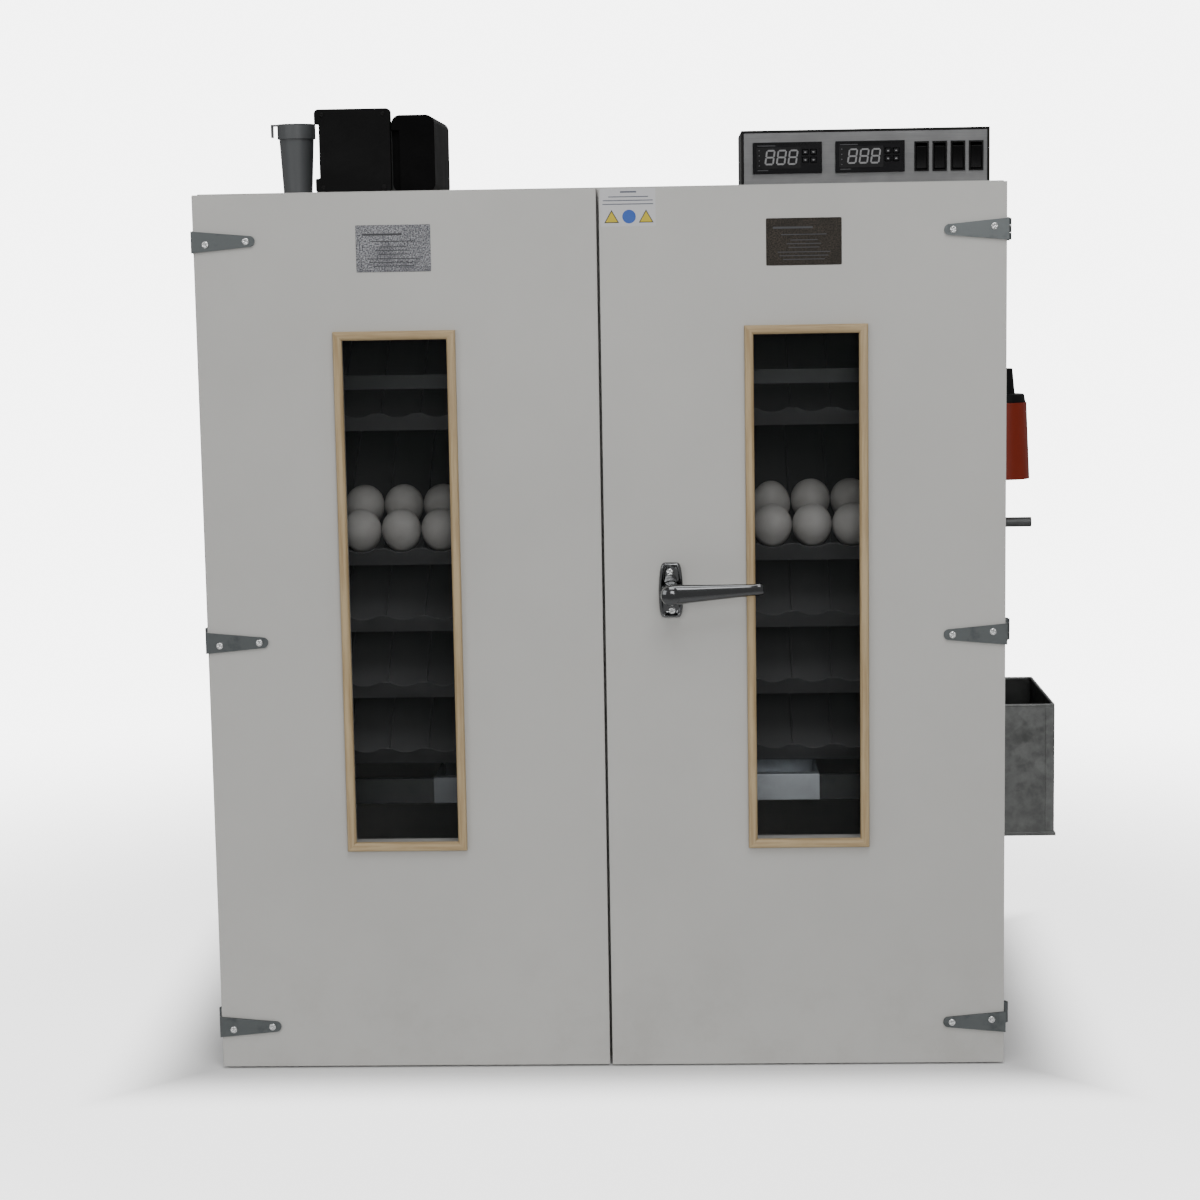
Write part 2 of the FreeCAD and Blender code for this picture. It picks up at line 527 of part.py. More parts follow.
# ---------------------------------------------------------------- water tank outside
tank_box = block("tank_box", (HALF, "tank_out"), ("tank_front", "tank_back"), ("tank_low", "tank_high"))
tank_inside = block("tank_inside", (HALF + " + tank_wall", "tank_out - tank_wall"),
                    ("tank_front + tank_wall", "tank_back - tank_wall"),
                    ("tank_low + tank_wall", "tank_high + over"))
tank_skirt = block("tank_skirt", (HALF + " + foot_proud / 2", "tank_out + foot_proud"),
                   ("tank_front - foot_proud", "tank_back + foot_proud"),
                   ("tank_low", "tank_low + foot_high"))
tank_skirt_hole = block("tank_skirt_hole", (HALF + " + foot_wall_side", "tank_out + foot_proud - foot_wall"),
                        ("tank_front - foot_proud + foot_wall", "tank_back + foot_proud - foot_wall"),
                        ("tank_low + tank_wall", "tank_low + foot_high + over"))
spigot_tube = rod("spigot_tube", "spigot", "x", INNER + " - spigot_reach", HALF + " + over", y="spigot_y",
                  z="spigot_z")
spigot_bore = rod("spigot_bore", "spigot_bore", "x", INNER + " - spigot_reach - over",
                  HALF + " + tank_wall + over", y="spigot_y", z="spigot_z")
tank_open = cut("tank_open", tank_box, tank_inside)
tank_foot = cut("tank_foot", tank_skirt, tank_skirt_hole)
node("water_tank", cut("tank", fused("tank_walls", tank_open, tank_foot, spigot_tube), spigot_bore))

# ---------------------------------------------------------------- fan, heater and sensor
wheel = padded("wheel", "XY_Plane", "0.5",
               [("fan_hub - hub_overlap", "blade"), ("fan_wheel", "blade"), ("fan_wheel", "blade * 2"),
                ("fan_hub - hub_overlap", "blade * 2")], "fan_thick")
blade = wheel.Tip
doc.recompute()
blades = wheel.newObject("PartDesign::PolarPattern", "wheel_blades")
blades.Originals = [blade]
blades.Axis = ([item for item in wheel.Origin.OriginFeatures if item.Role == "Z_Axis"][0], [""])
blades.Angle = 360
blades.Occurrences = FAN_BLADES
wheel.Tip = blades
wheel.Placement = Placement(Vector(), TURN["y"])
put(wheel, y="fan_front", z="fan_z")
wheel_shaft = rod("wheel_shaft", "fan_shaft", "y", "fan_front + over", "motor_front + fan_shaft_deep",
                  z="fan_z")
wheel_hub = rod("wheel_hub", "fan_hub", "y", "fan_front", "fan_front + fan_thick", z="fan_z")
node("fan_wheel", fused("fan_rotor", wheel, wheel_hub, wheel_shaft))
motor_can = rod("motor_can", "motor", "y", "motor_front + motor_gap", "carcass_back - panel", z="fan_z")
motor_plate = block("motor_plate", ("-motor - motor_foot", "motor + motor_foot"),
                    ("carcass_back - panel - motor_foot_thick", "carcass_back - panel"),
                    ("fan_z - motor_foot", "fan_z + motor_foot"))
motor_bore = rod("motor_bore", "fan_shaft + running", "y", "motor_front", "motor_front + fan_bore_deep",
                 z="fan_z")
node("fan_motor", cut("motor_bored", fused("motor_solid", motor_can, motor_plate), motor_bore))

ring = doc.addObject("Part::Torus", "heater_ring")
ring.Placement = Placement(Vector(), TURN["y"])
sized(ring, "Radius1", "heater")
sized(ring, "Radius2", "heater_tube")
put(ring, y="heater_y", z="fan_z")
legs = [rod("heater_leg_" + name, "heater_tube", "y", "heater_y", "carcass_back - panel", x=x, z="fan_z")
        for name, x in (("left", "-heater"), ("right", "heater"))]
node("heater", fused("heater_element", ring, *legs))
node("temperature_sensor", rod("sensor_probe", "sensor", "z", "sensor_low", ROOF_UNDER, x="sensor_x",
                               y="sensor_y"))

# ---------------------------------------------------------------- roof: cup and two housings
cup = doc.addObject("PartDesign::Body", "cup")
cup_turn = cup.newObject("PartDesign::Revolution", "cup_turned")
cup_turn.Profile = outline(cup, "XZ_Plane", "0", [
    ("cup_bore", "cup_spout_low"), ("cup_spout", "cup_spout_low"), ("cup_spout", "tall"),
    ("cup_foot", "tall"), ("cup_waist", "cup_lip"), ("cup_rim", "cup_lip"), ("cup_rim", "cup_top"),
    ("cup_rim - cup_wall", "cup_top"), ("cup_rim - cup_wall", "cup_lip + cup_wall"),
    ("cup_waist - cup_wall", "cup_lip + cup_wall"), ("cup_foot - cup_wall", "tall + cup_wall"),
    ("cup_bore", "tall + cup_wall")])
cup_turn.ReferenceAxis = ([item for item in cup.Origin.OriginFeatures if item.Role == "Z_Axis"][0], [""])
cup_turn.Angle = 360
cup.Tip = cup_turn
put(cup, "cup_x", "cup_y")
# A small hook, by which the cup hangs when it is out of its hole, is moulded on the rim.
HOOK_Y = ("cup_y - hook_half", "cup_y + hook_half")
hook_arm = block("hook_arm", ("cup_x - hook_reach", "cup_x - cup_rim + cup_wall / 2"), HOOK_Y,
                 ("cup_top - hook_thick", "cup_top"))
hook_tip = block("hook_tip", ("cup_x - hook_reach", "cup_x - hook_reach + hook_thick"), HOOK_Y,
                 ("cup_top - hook_drop", "cup_top"))
node("filler_cup", fused("cup_and_hook", cup, hook_arm, hook_tip))


def shell_box(name, left, right, front, back, top, radius):
    """A box with rounded upright corners and edges, as a solid pad along Y."""
    body = padded(name, "XZ_Plane", "-(%s)" % back, rectangle(left, "tall", right, top),
                  "(%s) - (%s)" % (back, front))
    rounded(body, name + "_round", Vector(0, 1, 0), radius)
    return body


jbox = shell_box("jbox", "jbox_left + jbox_inset", "jbox_right - jbox_inset", "jbox_seam", "jbox_back",
                 "jbox_top - jbox_drop", "round")
jbox_room = block("jbox_room", ("jbox_left + jbox_inset + shell", "jbox_right - jbox_inset - shell"),
                  ("jbox_seam - over", "jbox_back - shell"),
                  ("tall + shell", "jbox_top - jbox_drop - shell"))
node("junction_box", cut("junction", jbox, jbox_room))
# The lid stands a little proud of its box, and its left side ends in an ear at the top and the bottom.
jlid = shell_box("jlid", "jbox_left", "jbox_right", "jbox_front", "jbox_seam", "jbox_top", "round")
jlid_room = block("jlid_room", ("jbox_left + ear + lid_wall", "jbox_right - lid_wall"),
                  ("jbox_front + shell", "jbox_seam + over"), ("tall + lid_wall", "jbox_top - lid_wall"))
jlid_notch = block("jlid_notch", ("jbox_left - over", "jbox_left + ear"),
                   ("jbox_front - over", "jbox_seam + over"), ("tall + ear_tall", "jbox_top - ear_tall"))
node("junction_lid", cut("lid", jlid, jlid_room, jlid_notch))
# The other housing has a sunk upright channel at the left of its front.
supply = shell_box("supply", "supply_left", "supply_right", "supply_front", "supply_back", "supply_top",
                   "supply_round")
supply_channel = block("supply_channel", ("supply_left - over", "supply_left + channel_wide"),
                       ("supply_front - over", "supply_front + channel_deep"),
                       ("tall - over", "channel_top"))
supply_room = block("supply_room", ("supply_left + channel_wide + shell", "supply_right - shell"),
                    ("supply_front + shell", "supply_back - shell"),
                    ("tall - over", "supply_top - supply_round"))
node("transformer_housing", cut("supply_shell", supply, supply_channel, supply_room))

# ---------------------------------------------------------------- control box
case_solid = block("case_solid", ("ctrl_left", "ctrl_right"), ("ctrl_front", "ctrl_back"),
                   ("tall", "ctrl_top"))
case_room = block("case_room", ("ctrl_left + ctrl_wall", "ctrl_right - ctrl_wall"),
                  ("ctrl_front - over", "ctrl_back - ctrl_wall"), ("tall - over", "ctrl_top - ctrl_wall"))
node("control_case", cut("case", case_solid, case_room))

face = padded("face_plate", "XZ_Plane", "-(ctrl_front + face)",
              rectangle("ctrl_left + ctrl_wall", "tall", "ctrl_right - ctrl_wall", "ctrl_top - ctrl_wall"),
              "face")
for unit in (0, 1):
    left = "unit_left + %d * unit_pitch" % unit
    pocketed(face, "unit_opening_%d" % unit, "XZ_Plane", "-ctrl_front",
             rectangle(left + " + unit_lip", "unit_low + unit_lip", left + " + unit_wide - unit_lip",
                       "unit_low + unit_tall - unit_lip"), "face")
ROCKERS = range(4)
for number in ROCKERS:
    left = "rocker_left + %d * rocker_pitch" % number
    pocketed(face, "rocker_opening_%d" % number, "XZ_Plane", "-ctrl_front",
             rectangle(left, "rocker_z - rocker_slot", left + " + rocker_wide + 2 * rocker_clear",
                       "rocker_z + rocker_slot"), "face")
node("control_panel", face)

units = []
KEY_PLACES = ((0, 0), (1, 0), (0, 1), (1, 1))
KEY_BACK = "ctrl_front - unit_bezel + key_deep"


def key_left_edge(unit, column):
    return "unit_left + %d * unit_pitch + key_left + %d * key_step_x" % (unit, column)


def key_low_edge(line):
    return "unit_low + key_low + %d * key_step_z" % line


for unit in (0, 1):
    left = "unit_left + %d * unit_pitch" % unit
    bezel = block("bezel_%d" % unit, (left, left + " + unit_wide"),
                  ("ctrl_front - unit_bezel", "ctrl_front"), ("unit_low", "unit_low + unit_tall"))
    core = block("core_%d" % unit, (left + " + unit_lip", left + " + unit_wide - unit_lip"),
                 ("ctrl_front - over", "ctrl_front + unit_deep"),
                 ("unit_low + unit_lip", "unit_low + unit_tall - unit_lip"))
    wells = [block("key_well_%d_%d_%d" % (unit, column, line),
                   (key_left_edge(unit, column) + " - key_clear",
                    key_left_edge(unit, column) + " + key_wide + key_clear"),
                   ("ctrl_front - unit_bezel - over", KEY_BACK + " + key_room"),
                   (key_low_edge(line) + " - key_clear", key_low_edge(line) + " + key_tall + key_clear"))
             for column, line in KEY_PLACES]
    units.append(cut("unit_%d" % unit, fused("unit_solid_%d" % unit, bezel, core), *wells))
node("controllers", group("controller_pair", *units))

for unit, side in enumerate(("left", "right")):
    for column, line in KEY_PLACES:
        name = "key_%s_%s_%s" % (side, ("upper" if line else "lower"), ("outer" if column else "inner"))
        left, low = key_left_edge(unit, column), key_low_edge(line)
        node(name, block(name + "_cap", (left, left + " + key_wide"),
                         ("ctrl_front - unit_bezel - key_proud", KEY_BACK), (low, low + " + key_tall")))

# A rocker has two sloping finger faces and rocks about a point behind the panel.
rocker_blank = padded("rocker_blank", "YZ_Plane", "rocker_seat",
                      [("-rocker_tip", "rocker_half"), ("-rocker_dip", "0"), ("-rocker_tip", "-rocker_half"),
                       ("rocker_back", "rocker_taper - rocker_half"),
                       ("rocker_back", "rocker_half - rocker_taper")], "rocker_wide")
for number in ROCKERS:
    rocker = group("rocker_body_%d" % (number + 1), rocker_blank)
    rocker.Placement = Placement(Vector(), Rotation(Vector(1, 0, 0), 1))
    sized(rocker, "Placement.Rotation.Angle", "rocker_rest")
    put(rocker, "rocker_left + rocker_clear - rocker_seat + %d * rocker_pitch" % number,
        "ctrl_front + rocker_pivot", "rocker_z")
    node("rocker_%d" % (number + 1), rocker)

# ---------------------------------------------------------------- check and write
doc.recompute()
failed = [item.Name for item in doc.Objects if "Invalid" in item.State or "Error" in item.State]
if failed:
    raise RuntimeError("failed objects: " + ", ".join(failed))
for part in nodes:
    shape = part.Shape
    if shape.isNull() or not shape.isValid() or not shape.Solids:
        raise RuntimeError("bad shape: " + part.Label)
os.makedirs("parts", exist_ok=True)
for part in nodes:
    part.Shape.exportStep(os.path.join("parts", part.Label + ".step"))
    print("%-24s solids %2d  volume %10.0f" % (part.Label, len(part.Shape.Solids), part.Shape.Volume))
print(len(nodes), "nodes")
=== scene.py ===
import itertools
import json
import math
import bmesh
import bpy
from mathutils import Matrix, Vector


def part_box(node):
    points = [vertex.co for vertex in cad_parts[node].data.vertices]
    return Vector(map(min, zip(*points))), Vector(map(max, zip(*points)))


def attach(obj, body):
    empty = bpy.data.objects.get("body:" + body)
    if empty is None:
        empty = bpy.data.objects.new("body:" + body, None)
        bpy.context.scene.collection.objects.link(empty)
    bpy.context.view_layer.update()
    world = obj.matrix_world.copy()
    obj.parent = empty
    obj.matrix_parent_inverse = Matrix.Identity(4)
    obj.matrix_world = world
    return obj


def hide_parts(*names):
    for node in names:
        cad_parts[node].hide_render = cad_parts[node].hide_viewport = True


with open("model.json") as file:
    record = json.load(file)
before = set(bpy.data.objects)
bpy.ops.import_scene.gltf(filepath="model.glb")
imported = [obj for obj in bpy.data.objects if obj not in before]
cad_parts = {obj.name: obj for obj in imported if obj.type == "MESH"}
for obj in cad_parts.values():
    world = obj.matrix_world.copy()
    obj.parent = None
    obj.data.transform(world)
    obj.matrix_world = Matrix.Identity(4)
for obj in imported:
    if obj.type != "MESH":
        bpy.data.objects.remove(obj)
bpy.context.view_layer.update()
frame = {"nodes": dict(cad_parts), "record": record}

NODES = frame["nodes"]
BODY_OF = {node: body for body, members in frame["record"]["behaviour"]["bodies"].items()
           for node in members}

# ------------ camera, floor and lights
# A long lens at chest height looks square at the doors. The floor and the room behind are pale,
# and the lamps are broad and soft.
def shown(name, data):
    """Put a mesh, lamp or camera into the scene as an object."""
    thing = bpy.data.objects.new(name, data)
    bpy.context.scene.collection.objects.link(thing)
    return thing


camera_data = bpy.data.cameras.new("camera")
camera_data.sensor_width = 36.0
camera_data.lens = 76.45
camera = shown("camera", camera_data)
camera.location = (0.0904, -3.1148, 0.9201)
camera.rotation_euler = (math.radians(82.392), math.radians(0.955), math.radians(1.787))
bpy.context.scene.camera = camera

FLOOR_REACH, FLOOR_SUNK = 4.0, 0.0005
FLOOR_CORNERS = ((-1, -1), (1, -1), (1, 1), (-1, 1))
floor_mesh = bpy.data.meshes.new("floor")
floor_mesh.from_pydata([(x * FLOOR_REACH, y * FLOOR_REACH, -FLOOR_SUNK) for x, y in FLOOR_CORNERS],
                       [], [(0, 1, 2, 3)])
floor = shown("floor", floor_mesh)


class Value:
    """A shader socket that takes part in Python arithmetic by adding Math nodes."""

    def __init__(self, finish, socket):
        self.finish = finish
        self.socket = socket

    def _math(self, operation, *terms):
        node = self.finish.tree.nodes.new("ShaderNodeMath")
        node.operation = operation
        for slot, term in zip(node.inputs, terms):
            self.finish.feed(slot, term)
        return Value(self.finish, node.outputs[0])

    def __add__(self, other):
        return self._math("ADD", self, other)

    def __sub__(self, other):
        return self._math("SUBTRACT", self, other)

    def __rsub__(self, other):
        return self._math("SUBTRACT", other, self)

    def __mul__(self, other):
        return self._math("MULTIPLY", self, other)

    def __abs__(self):
        return self._math("ABSOLUTE", self)

    def or_more(self, other):
        return self._math("MAXIMUM", self, other)

    def over(self, low, high):
        """0 below low, 1 above high, smooth between."""
        return self.finish.node("ShaderNodeMapRange", {"interpolation_type": "SMOOTHSTEP"}, "Result",
                                Value=self, **{"From Min": low, "From Max": high})

    __radd__ = __add__
    __rmul__ = __mul__


class Finish:
    """A material on one Principled shader, built up from named nodes."""

    def __init__(self, name, colour, roughness, **fixed):
        self.material = bpy.data.materials.new(name)
        self.material.use_nodes = True
        self.tree = self.material.node_tree
        self.shader = self.tree.nodes["Principled BSDF"]
        self.shader.inputs["Base Color"].default_value = (*colour, 1.0)
        self.shader.inputs["Roughness"].default_value = roughness
        for socket, value in fixed.items():
            self.shader.inputs[socket.replace("_", " ")].default_value = value

    def feed(self, slot, value):
        if isinstance(value, Value):
            self.tree.links.new(value.socket, slot)
        elif isinstance(value, (tuple, list)) and len(value) == 3 and slot.type == "RGBA":
            slot.default_value = (*value, 1.0)
        else:
            slot.default_value = value

    def node(self, kind, settings=None, output=0, **inputs):
        item = self.tree.nodes.new(kind)
        for key, value in (settings or {}).items():
            setattr(item, key, value)
        for key, value in inputs.items():
            self.feed(item.inputs[key], value)
        return Value(self, item.outputs[output])

    def place(self, scale=(1.0, 1.0, 1.0), source="Object"):
        spot = self.node("ShaderNodeTexCoord", output=source)
        return self.node("ShaderNodeMapping", output="Vector", Vector=spot, Scale=scale)

    def part(self, axis, vector=None):
        """One coordinate of a vector, or of the place on the object."""
        return self.node("ShaderNodeSeparateXYZ", None, axis, Vector=vector or self.place())

    def noise(self, spot, scale, detail=3.0, roughness=0.5):
        return self.node("ShaderNodeTexNoise", None, "Fac", Vector=spot, Scale=scale, Detail=detail,
                         Roughness=roughness)

    def between(self, mask, first, second):
        """Mix two colours by a mask."""
        item = self.tree.nodes.new("ShaderNodeMix")
        item.data_type = "RGBA"
        self.feed(item.inputs[0], mask)
        self.feed(item.inputs[6], first)
        self.feed(item.inputs[7], second)
        return Value(self, item.outputs[2])

    def drive(self, socket, value):
        self.feed(self.shader.inputs[socket], value)

    def bump(self, height, deep, strength=1.0):
        self.drive("Normal", self.node("ShaderNodeBump", None, "Normal", Height=height, Distance=deep,
                                       Strength=strength))

    def onto(self, thing):
        thing.data.materials.clear()
        thing.data.materials.append(self.material)
        return thing


# The paper floor fades out round the cabinet into the white room behind it. Its glow is for the
# camera alone and fades in just past the cabinet's footprint, a painted shadow round the base over the real
# one.
FOOTPRINT_X, FOOTPRINT_Y = 0.46, 0.28
paper = Finish("floor_paper", (0.86, 0.86, 0.86), 0.9, Emission_Strength=2.2)
far_out = paper.node("ShaderNodeVectorMath", {"operation": "LENGTH"}, "Value", Vector=paper.place())
painted_shadow_distance = (abs(paper.part("X")) - FOOTPRINT_X).or_more(abs(paper.part("Y")) - FOOTPRINT_Y)
seen = paper.node("ShaderNodeLightPath", output="Is Camera Ray")
paper.drive("Alpha", 1.0 - far_out.over(0.7, 2.3))
# The glow is held back near the footprint, which paints a soft shadow round the base.
paper.drive("Emission Color", seen * painted_shadow_distance.over(0.0, 0.15))
paper.onto(floor)


# Four square soft lamps, all aimed at the middle of the cabinet.
MIDDLE = Vector((0.0, 0.0, 0.5))
for name, place, size, watts in (
        ("overhead", (0.3, -1.9, 3.0), 1.6, 41), ("left_fill", (-2.6, -3.0, 1.7), 1.8, 29),
        ("front", (0.6, -3.6, 1.5), 1.2, 26), ("rear", (0.0, 3.0, 2.6), 2.6, 20)):
    data = bpy.data.lights.new(name, "AREA")
    data.size = size
    data.energy = watts
    lamp = shown(name, data)
    lamp.location = place
    lamp.rotation_euler = (MIDDLE - Vector(place)).to_track_quat("-Z", "Y").to_euler()
# The room behind is white paper, lit more than the cabinet is.
world = bpy.data.worlds.new("studio")
world.use_nodes = True
room = world.node_tree
room_light, room_paper = room.nodes["Background"], room.nodes.new("ShaderNodeBackground")
for background, strength in ((room_light, 0.36), (room_paper, 6.0)):
    background.inputs["Color"].default_value = (1.0, 1.0, 1.0, 1.0)
    background.inputs["Strength"].default_value = strength
room_rays, room_mix = room.nodes.new("ShaderNodeLightPath"), room.nodes.new("ShaderNodeMixShader")
for source, target in ((room_rays.outputs["Is Camera Ray"], room_mix.inputs["Fac"]),
                       (room_light.outputs[0], room_mix.inputs[1]),
                       (room_paper.outputs[0], room_mix.inputs[2]),
                       (room_mix.outputs[0], room.nodes["World Output"].inputs["Surface"])):
    room.links.new(source, target)
bpy.context.scene.world = world


# ------------ doors
# Two flat doors of foam-cored board faced with an off-white laminate that has a fine orange-peel grain.
# Their edges are slightly eased. The faces carry faint mottling and a little grime low down.
def laminate(name, colour, grime):
    """Off-white sheet facing: an orange-peel grain, cloudy mottling and dusty lower edges."""
    finish = Finish(name, colour, 0.5)
    spot = finish.place()
    peel = finish.noise(spot, 900.0, 2.0)
    grain = finish.noise(spot, 260.0, 3.0)
    cloud = finish.noise(spot, 3.2, 4.0, 0.6)
    smudge = finish.noise(spot, 9.0, 5.0, 0.65).over(0.58, 0.76)
    low_dirt = (1.0 - finish.part("Z").over(0.0, 0.22)) * finish.noise(spot, 14.0, 5.0, 0.7).over(0.42, 0.72)
    dark = tuple(channel * 0.88 for channel in colour)
    warm = (colour[0] * 0.97, colour[1] * 0.95, colour[2] * 0.90)
    base = finish.between(cloud.over(0.35, 0.7) * 0.45, colour, dark)
    base = finish.between(smudge * 0.16, base, warm)
    base = finish.between(low_dirt * grime, base, (0.30, 0.28, 0.25))
    finish.drive("Base Color", base)
    finish.drive("Roughness", 0.44 + grain * 0.16)
    finish.bump(peel * 0.6 + grain * 0.4, 0.0004, 0.55)
    return finish


def settle(thing, body, slot, *replaced):
    """Every finished piece rides on a body and stands for its CAD nodes; the slot is not used."""
    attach(thing, body)
    if replaced:
        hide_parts(*replaced)
    return thing


def as_mesh(thing, name=None):
    """Bake an object's modifiers into a plain mesh. A curve becomes a new object with the name given."""
    bpy.context.view_layer.update()
    graph = bpy.context.evaluated_depsgraph_get()
    baked = bpy.data.meshes.new_from_object(thing.evaluated_get(graph))
    thing.modifiers.clear()
    if thing.type == "MESH":
        thing.data = baked
        return thing
    bpy.data.objects.remove(thing)
    return shown(name, baked)


SMOOTH_UNDER, ROUND_OVER, FLAT_UNDER = math.radians(38), math.radians(32), math.radians(0.6)
WELD_WITHIN = 0.000005


def smoothed(thing):
    thing.data.polygons.foreach_set("use_smooth", [True] * len(thing.data.polygons))
    thing.data.set_sharp_from_angle(angle=SMOOTH_UNDER)
    return thing


def eased(node, width):
    """A copy of a CAD node with its edges rounded over."""
    mesh = NODES[node].data.copy()
    work = bmesh.new()
    work.from_mesh(mesh)
    bmesh.ops.remove_doubles(work, verts=work.verts, dist=WELD_WITHIN)
    bmesh.ops.dissolve_limit(work, angle_limit=FLAT_UNDER, verts=work.verts, edges=work.edges)
    work.to_mesh(mesh)
    work.free()
    thing = shown(node + "_finished", mesh)
    rounding = thing.modifiers.new("rounding", "BEVEL")
    rounding.width = width
    rounding.segments = 2
    rounding.limit_method = "ANGLE"
    rounding.angle_limit = ROUND_OVER
    smoothed(as_mesh(thing))
    # Broad flat faces keep their own normals, so that the rounding doesn't shade them.
    flat = thing.modifiers.new("flat", "WEIGHTED_NORMAL")
    flat.keep_sharp = True
    return as_mesh(thing)


def carry(node, width, finish, slot):
    """Ease a CAD node, give it a finish and let it ride with the node's own body."""
    thing = finish.onto(eased(node, width))
    return settle(thing, BODY_OF[node], slot, node)


DOOR_COLOUR = (0.475, 0.470, 0.450)
door_finish = laminate("door_laminate", DOOR_COLOUR, 0.22)
for side in ("left", "right"):
    carry(side + "_door_panel", 0.0012, door_finish, "door_laminate")


# ------------ carcass
# The sides, roof, floor, back and centre post are the same board as the doors, a shade darker.
# Dirt gathers towards their lower edges.
carcass_finish = laminate("carcass_laminate", (0.465, 0.460, 0.442), 0.35)
for panel in ("left_side_panel", "right_side_panel", "top_panel", "bottom_panel", "back_panel",
              "centre_post"):
    carry(panel, 0.0010, carcass_finish, "carcass_laminate")


# ------------ door seal
# Two loops of soft black foam rubber are stuck round the openings.
# The surface is matt, with the fine grain of the foam.
seal_finish = Finish("seal_rubber", (0.018, 0.018, 0.018), 0.8)
seal_finish.bump(seal_finish.noise(seal_finish.place(), 700.0), 0.0004, 0.6)
carry("door_gasket", 0.0009, seal_finish, "seal_rubber")

# ------------ window mouldings
# Four lengths of planed pine, mitred at the corners, with a rounded outer edge and a sloping inner edge.
# Clear varnish. The grain runs along each length, with small darker streaks.
def pine():
    """Varnished pine whose grain follows the length given by the UV map."""
    finish = Finish("moulding_pine", (0.42, 0.32, 0.18), 0.42, Specular_IOR_Level=0.3)
    spot = finish.place((1.0, 1.0, 1.0), source="UV")
    wide = finish.place((9.0, 320.0, 1.0), source="UV")
    fine = finish.place((60.0, 2600.0, 1.0), source="UV")
    rings = finish.noise(wide, 1.0, 4.0, 0.6)
    fibres = finish.noise(fine, 1.0, 3.0, 0.6)
    patches = finish.noise(spot, 7.0, 2.0)
    base = finish.between(rings.over(0.36, 0.66), (0.450, 0.345, 0.200), (0.320, 0.225, 0.115))
    base = finish.between(patches.over(0.4, 0.7) * 0.35, base, (0.40, 0.305, 0.19))
    base = finish.between(fibres.over(0.55, 0.8) * 0.22, base, (0.23, 0.16, 0.085))
    finish.drive("Base Color", base)
    finish.drive("Roughness", 0.36 + fibres * 0.2)
    finish.bump(rings * 0.4 + fibres * 0.6, 0.0002, 0.6)
    return finish


def made(mesh, name):
    """Turn a bmesh into an object with its faces outwards."""
    bmesh.ops.recalc_face_normals(mesh, faces=mesh.faces)
    data = bpy.data.meshes.new(name)
    mesh.to_mesh(data)
    mesh.free()
    return bpy.data.objects.new(name, data)


def built(mesh, name):
    """The same, shown in the scene and shaded smooth over its soft edges."""
    thing = made(mesh, name)
    bpy.context.scene.collection.objects.link(thing)
    return smoothed(thing)


# Shares of the section's depth and width at which the rounded face starts and ends.
SHOULDER, ROUNDED, MOULDING_STEPS = 0.45, 0.22, 6
# Each length, and each strip of its section, takes its grain from another part of the timber.
GRAIN_APART, STRIP_APART, STRIP_WIDE = 3.1, 0.7, 0.0018


def moulding(name, low, high):
    """A mitred frame of four lengths that fills a box on the door's face."""
    back, front = high.y, low.y
    proud = back - front
    # The section runs from the outer edge at the back, over the rounded face, to the inner edge.
    section = [(0.0, back), (0.0, front + SHOULDER * proud)]
    for step in range(1, MOULDING_STEPS + 1):
        turn = math.pi / 2 * step / MOULDING_STEPS
        section.append((ROUNDED * (1 - math.cos(turn)),
                        front + SHOULDER * proud * (1 - math.sin(turn))))
    section += [(0.62, front), (0.80, front + 0.12 * proud), (0.93, front + 0.34 * proud),
                (1.0, front + 0.55 * proud), (1.0, back)]
    mesh = bmesh.new()
    grain = mesh.loops.layers.uv.new("grain")
    outer, inner = [[(x0, z0), (x1, z0), (x1, z1), (x0, z1)] for x0, z0, x1, z1 in (
        (low.x, low.z, high.x, high.z),
        (low.x + MOULDING_WIDE, low.z + MOULDING_WIDE, high.x - MOULDING_WIDE, high.z - MOULDING_WIDE))]
    for corner in range(4):
        after = (corner + 1) % 4
        ends = []
        for here in (corner, after):
            (ox, oz), (ix, iz) = outer[here], inner[here]
            ends.append([mesh.verts.new((ox + (ix - ox) * share, depth, oz + (iz - oz) * share))
                         for share, depth in section])
        length = math.dist(outer[corner], outer[after])
        for index in range(len(section)):
            following = (index + 1) % len(section)
            face = mesh.faces.new((ends[0][index], ends[1][index], ends[1][following], ends[0][following]))
            for loop, (along, across) in zip(face.loops, ((0, index), (1, index), (1, index + 1),
                                                          (0, index + 1))):
                loop[grain].uv = (along * length + corner * GRAIN_APART,
                                  across * STRIP_WIDE + corner * STRIP_APART)
        # Mitre cuts are closed, as each length is its own stick.
        mesh.faces.new(ends[0])
        mesh.faces.new(list(reversed(ends[1])))
    return built(mesh, name)


MOULDING_WIDE = 0.010
pine_finish = pine()
for side in ("left", "right"):
    stick = moulding(side + "_moulding", *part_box(side + "_window_frame"))
    settle(pine_finish.onto(stick), side + "_door", "moulding_pine", side + "_window_frame")


# ------------ window panes
# Two sheets of float glass a door, the outer one bedded behind the moulding.
# Faint dust makes them hazier in patches.
glass_finish = Finish("pane_glass", (0.010, 0.012, 0.012), 0.03, Alpha=0.08)
dust = glass_finish.noise(glass_finish.place(), 6.0, 5.0, 0.7).over(0.55, 0.8)
glass_finish.drive("Roughness", 0.03 + dust * 0.09)
glass_finish.drive("Alpha", 0.08 + dust * 0.03)
for side in ("left", "right"):
    carry(side + "_window_glass", 0.0006, glass_finish, "pane_glass")


# ------------ screws
# Pan-head screws of zinc-plated steel have a cross recess.
# One kind of node tree sets out each run of them, every head turned by its own amount.
AROUND = 32
SIDEWAYS, UPWARD = Vector((1, 0, 0)), Vector((0, 0, 1))


def squared(value, power):
    """Spread a sine or cosine towards a rounded square: 2 leaves it round."""
    return math.copysign(abs(value) ** (2 / power), value)


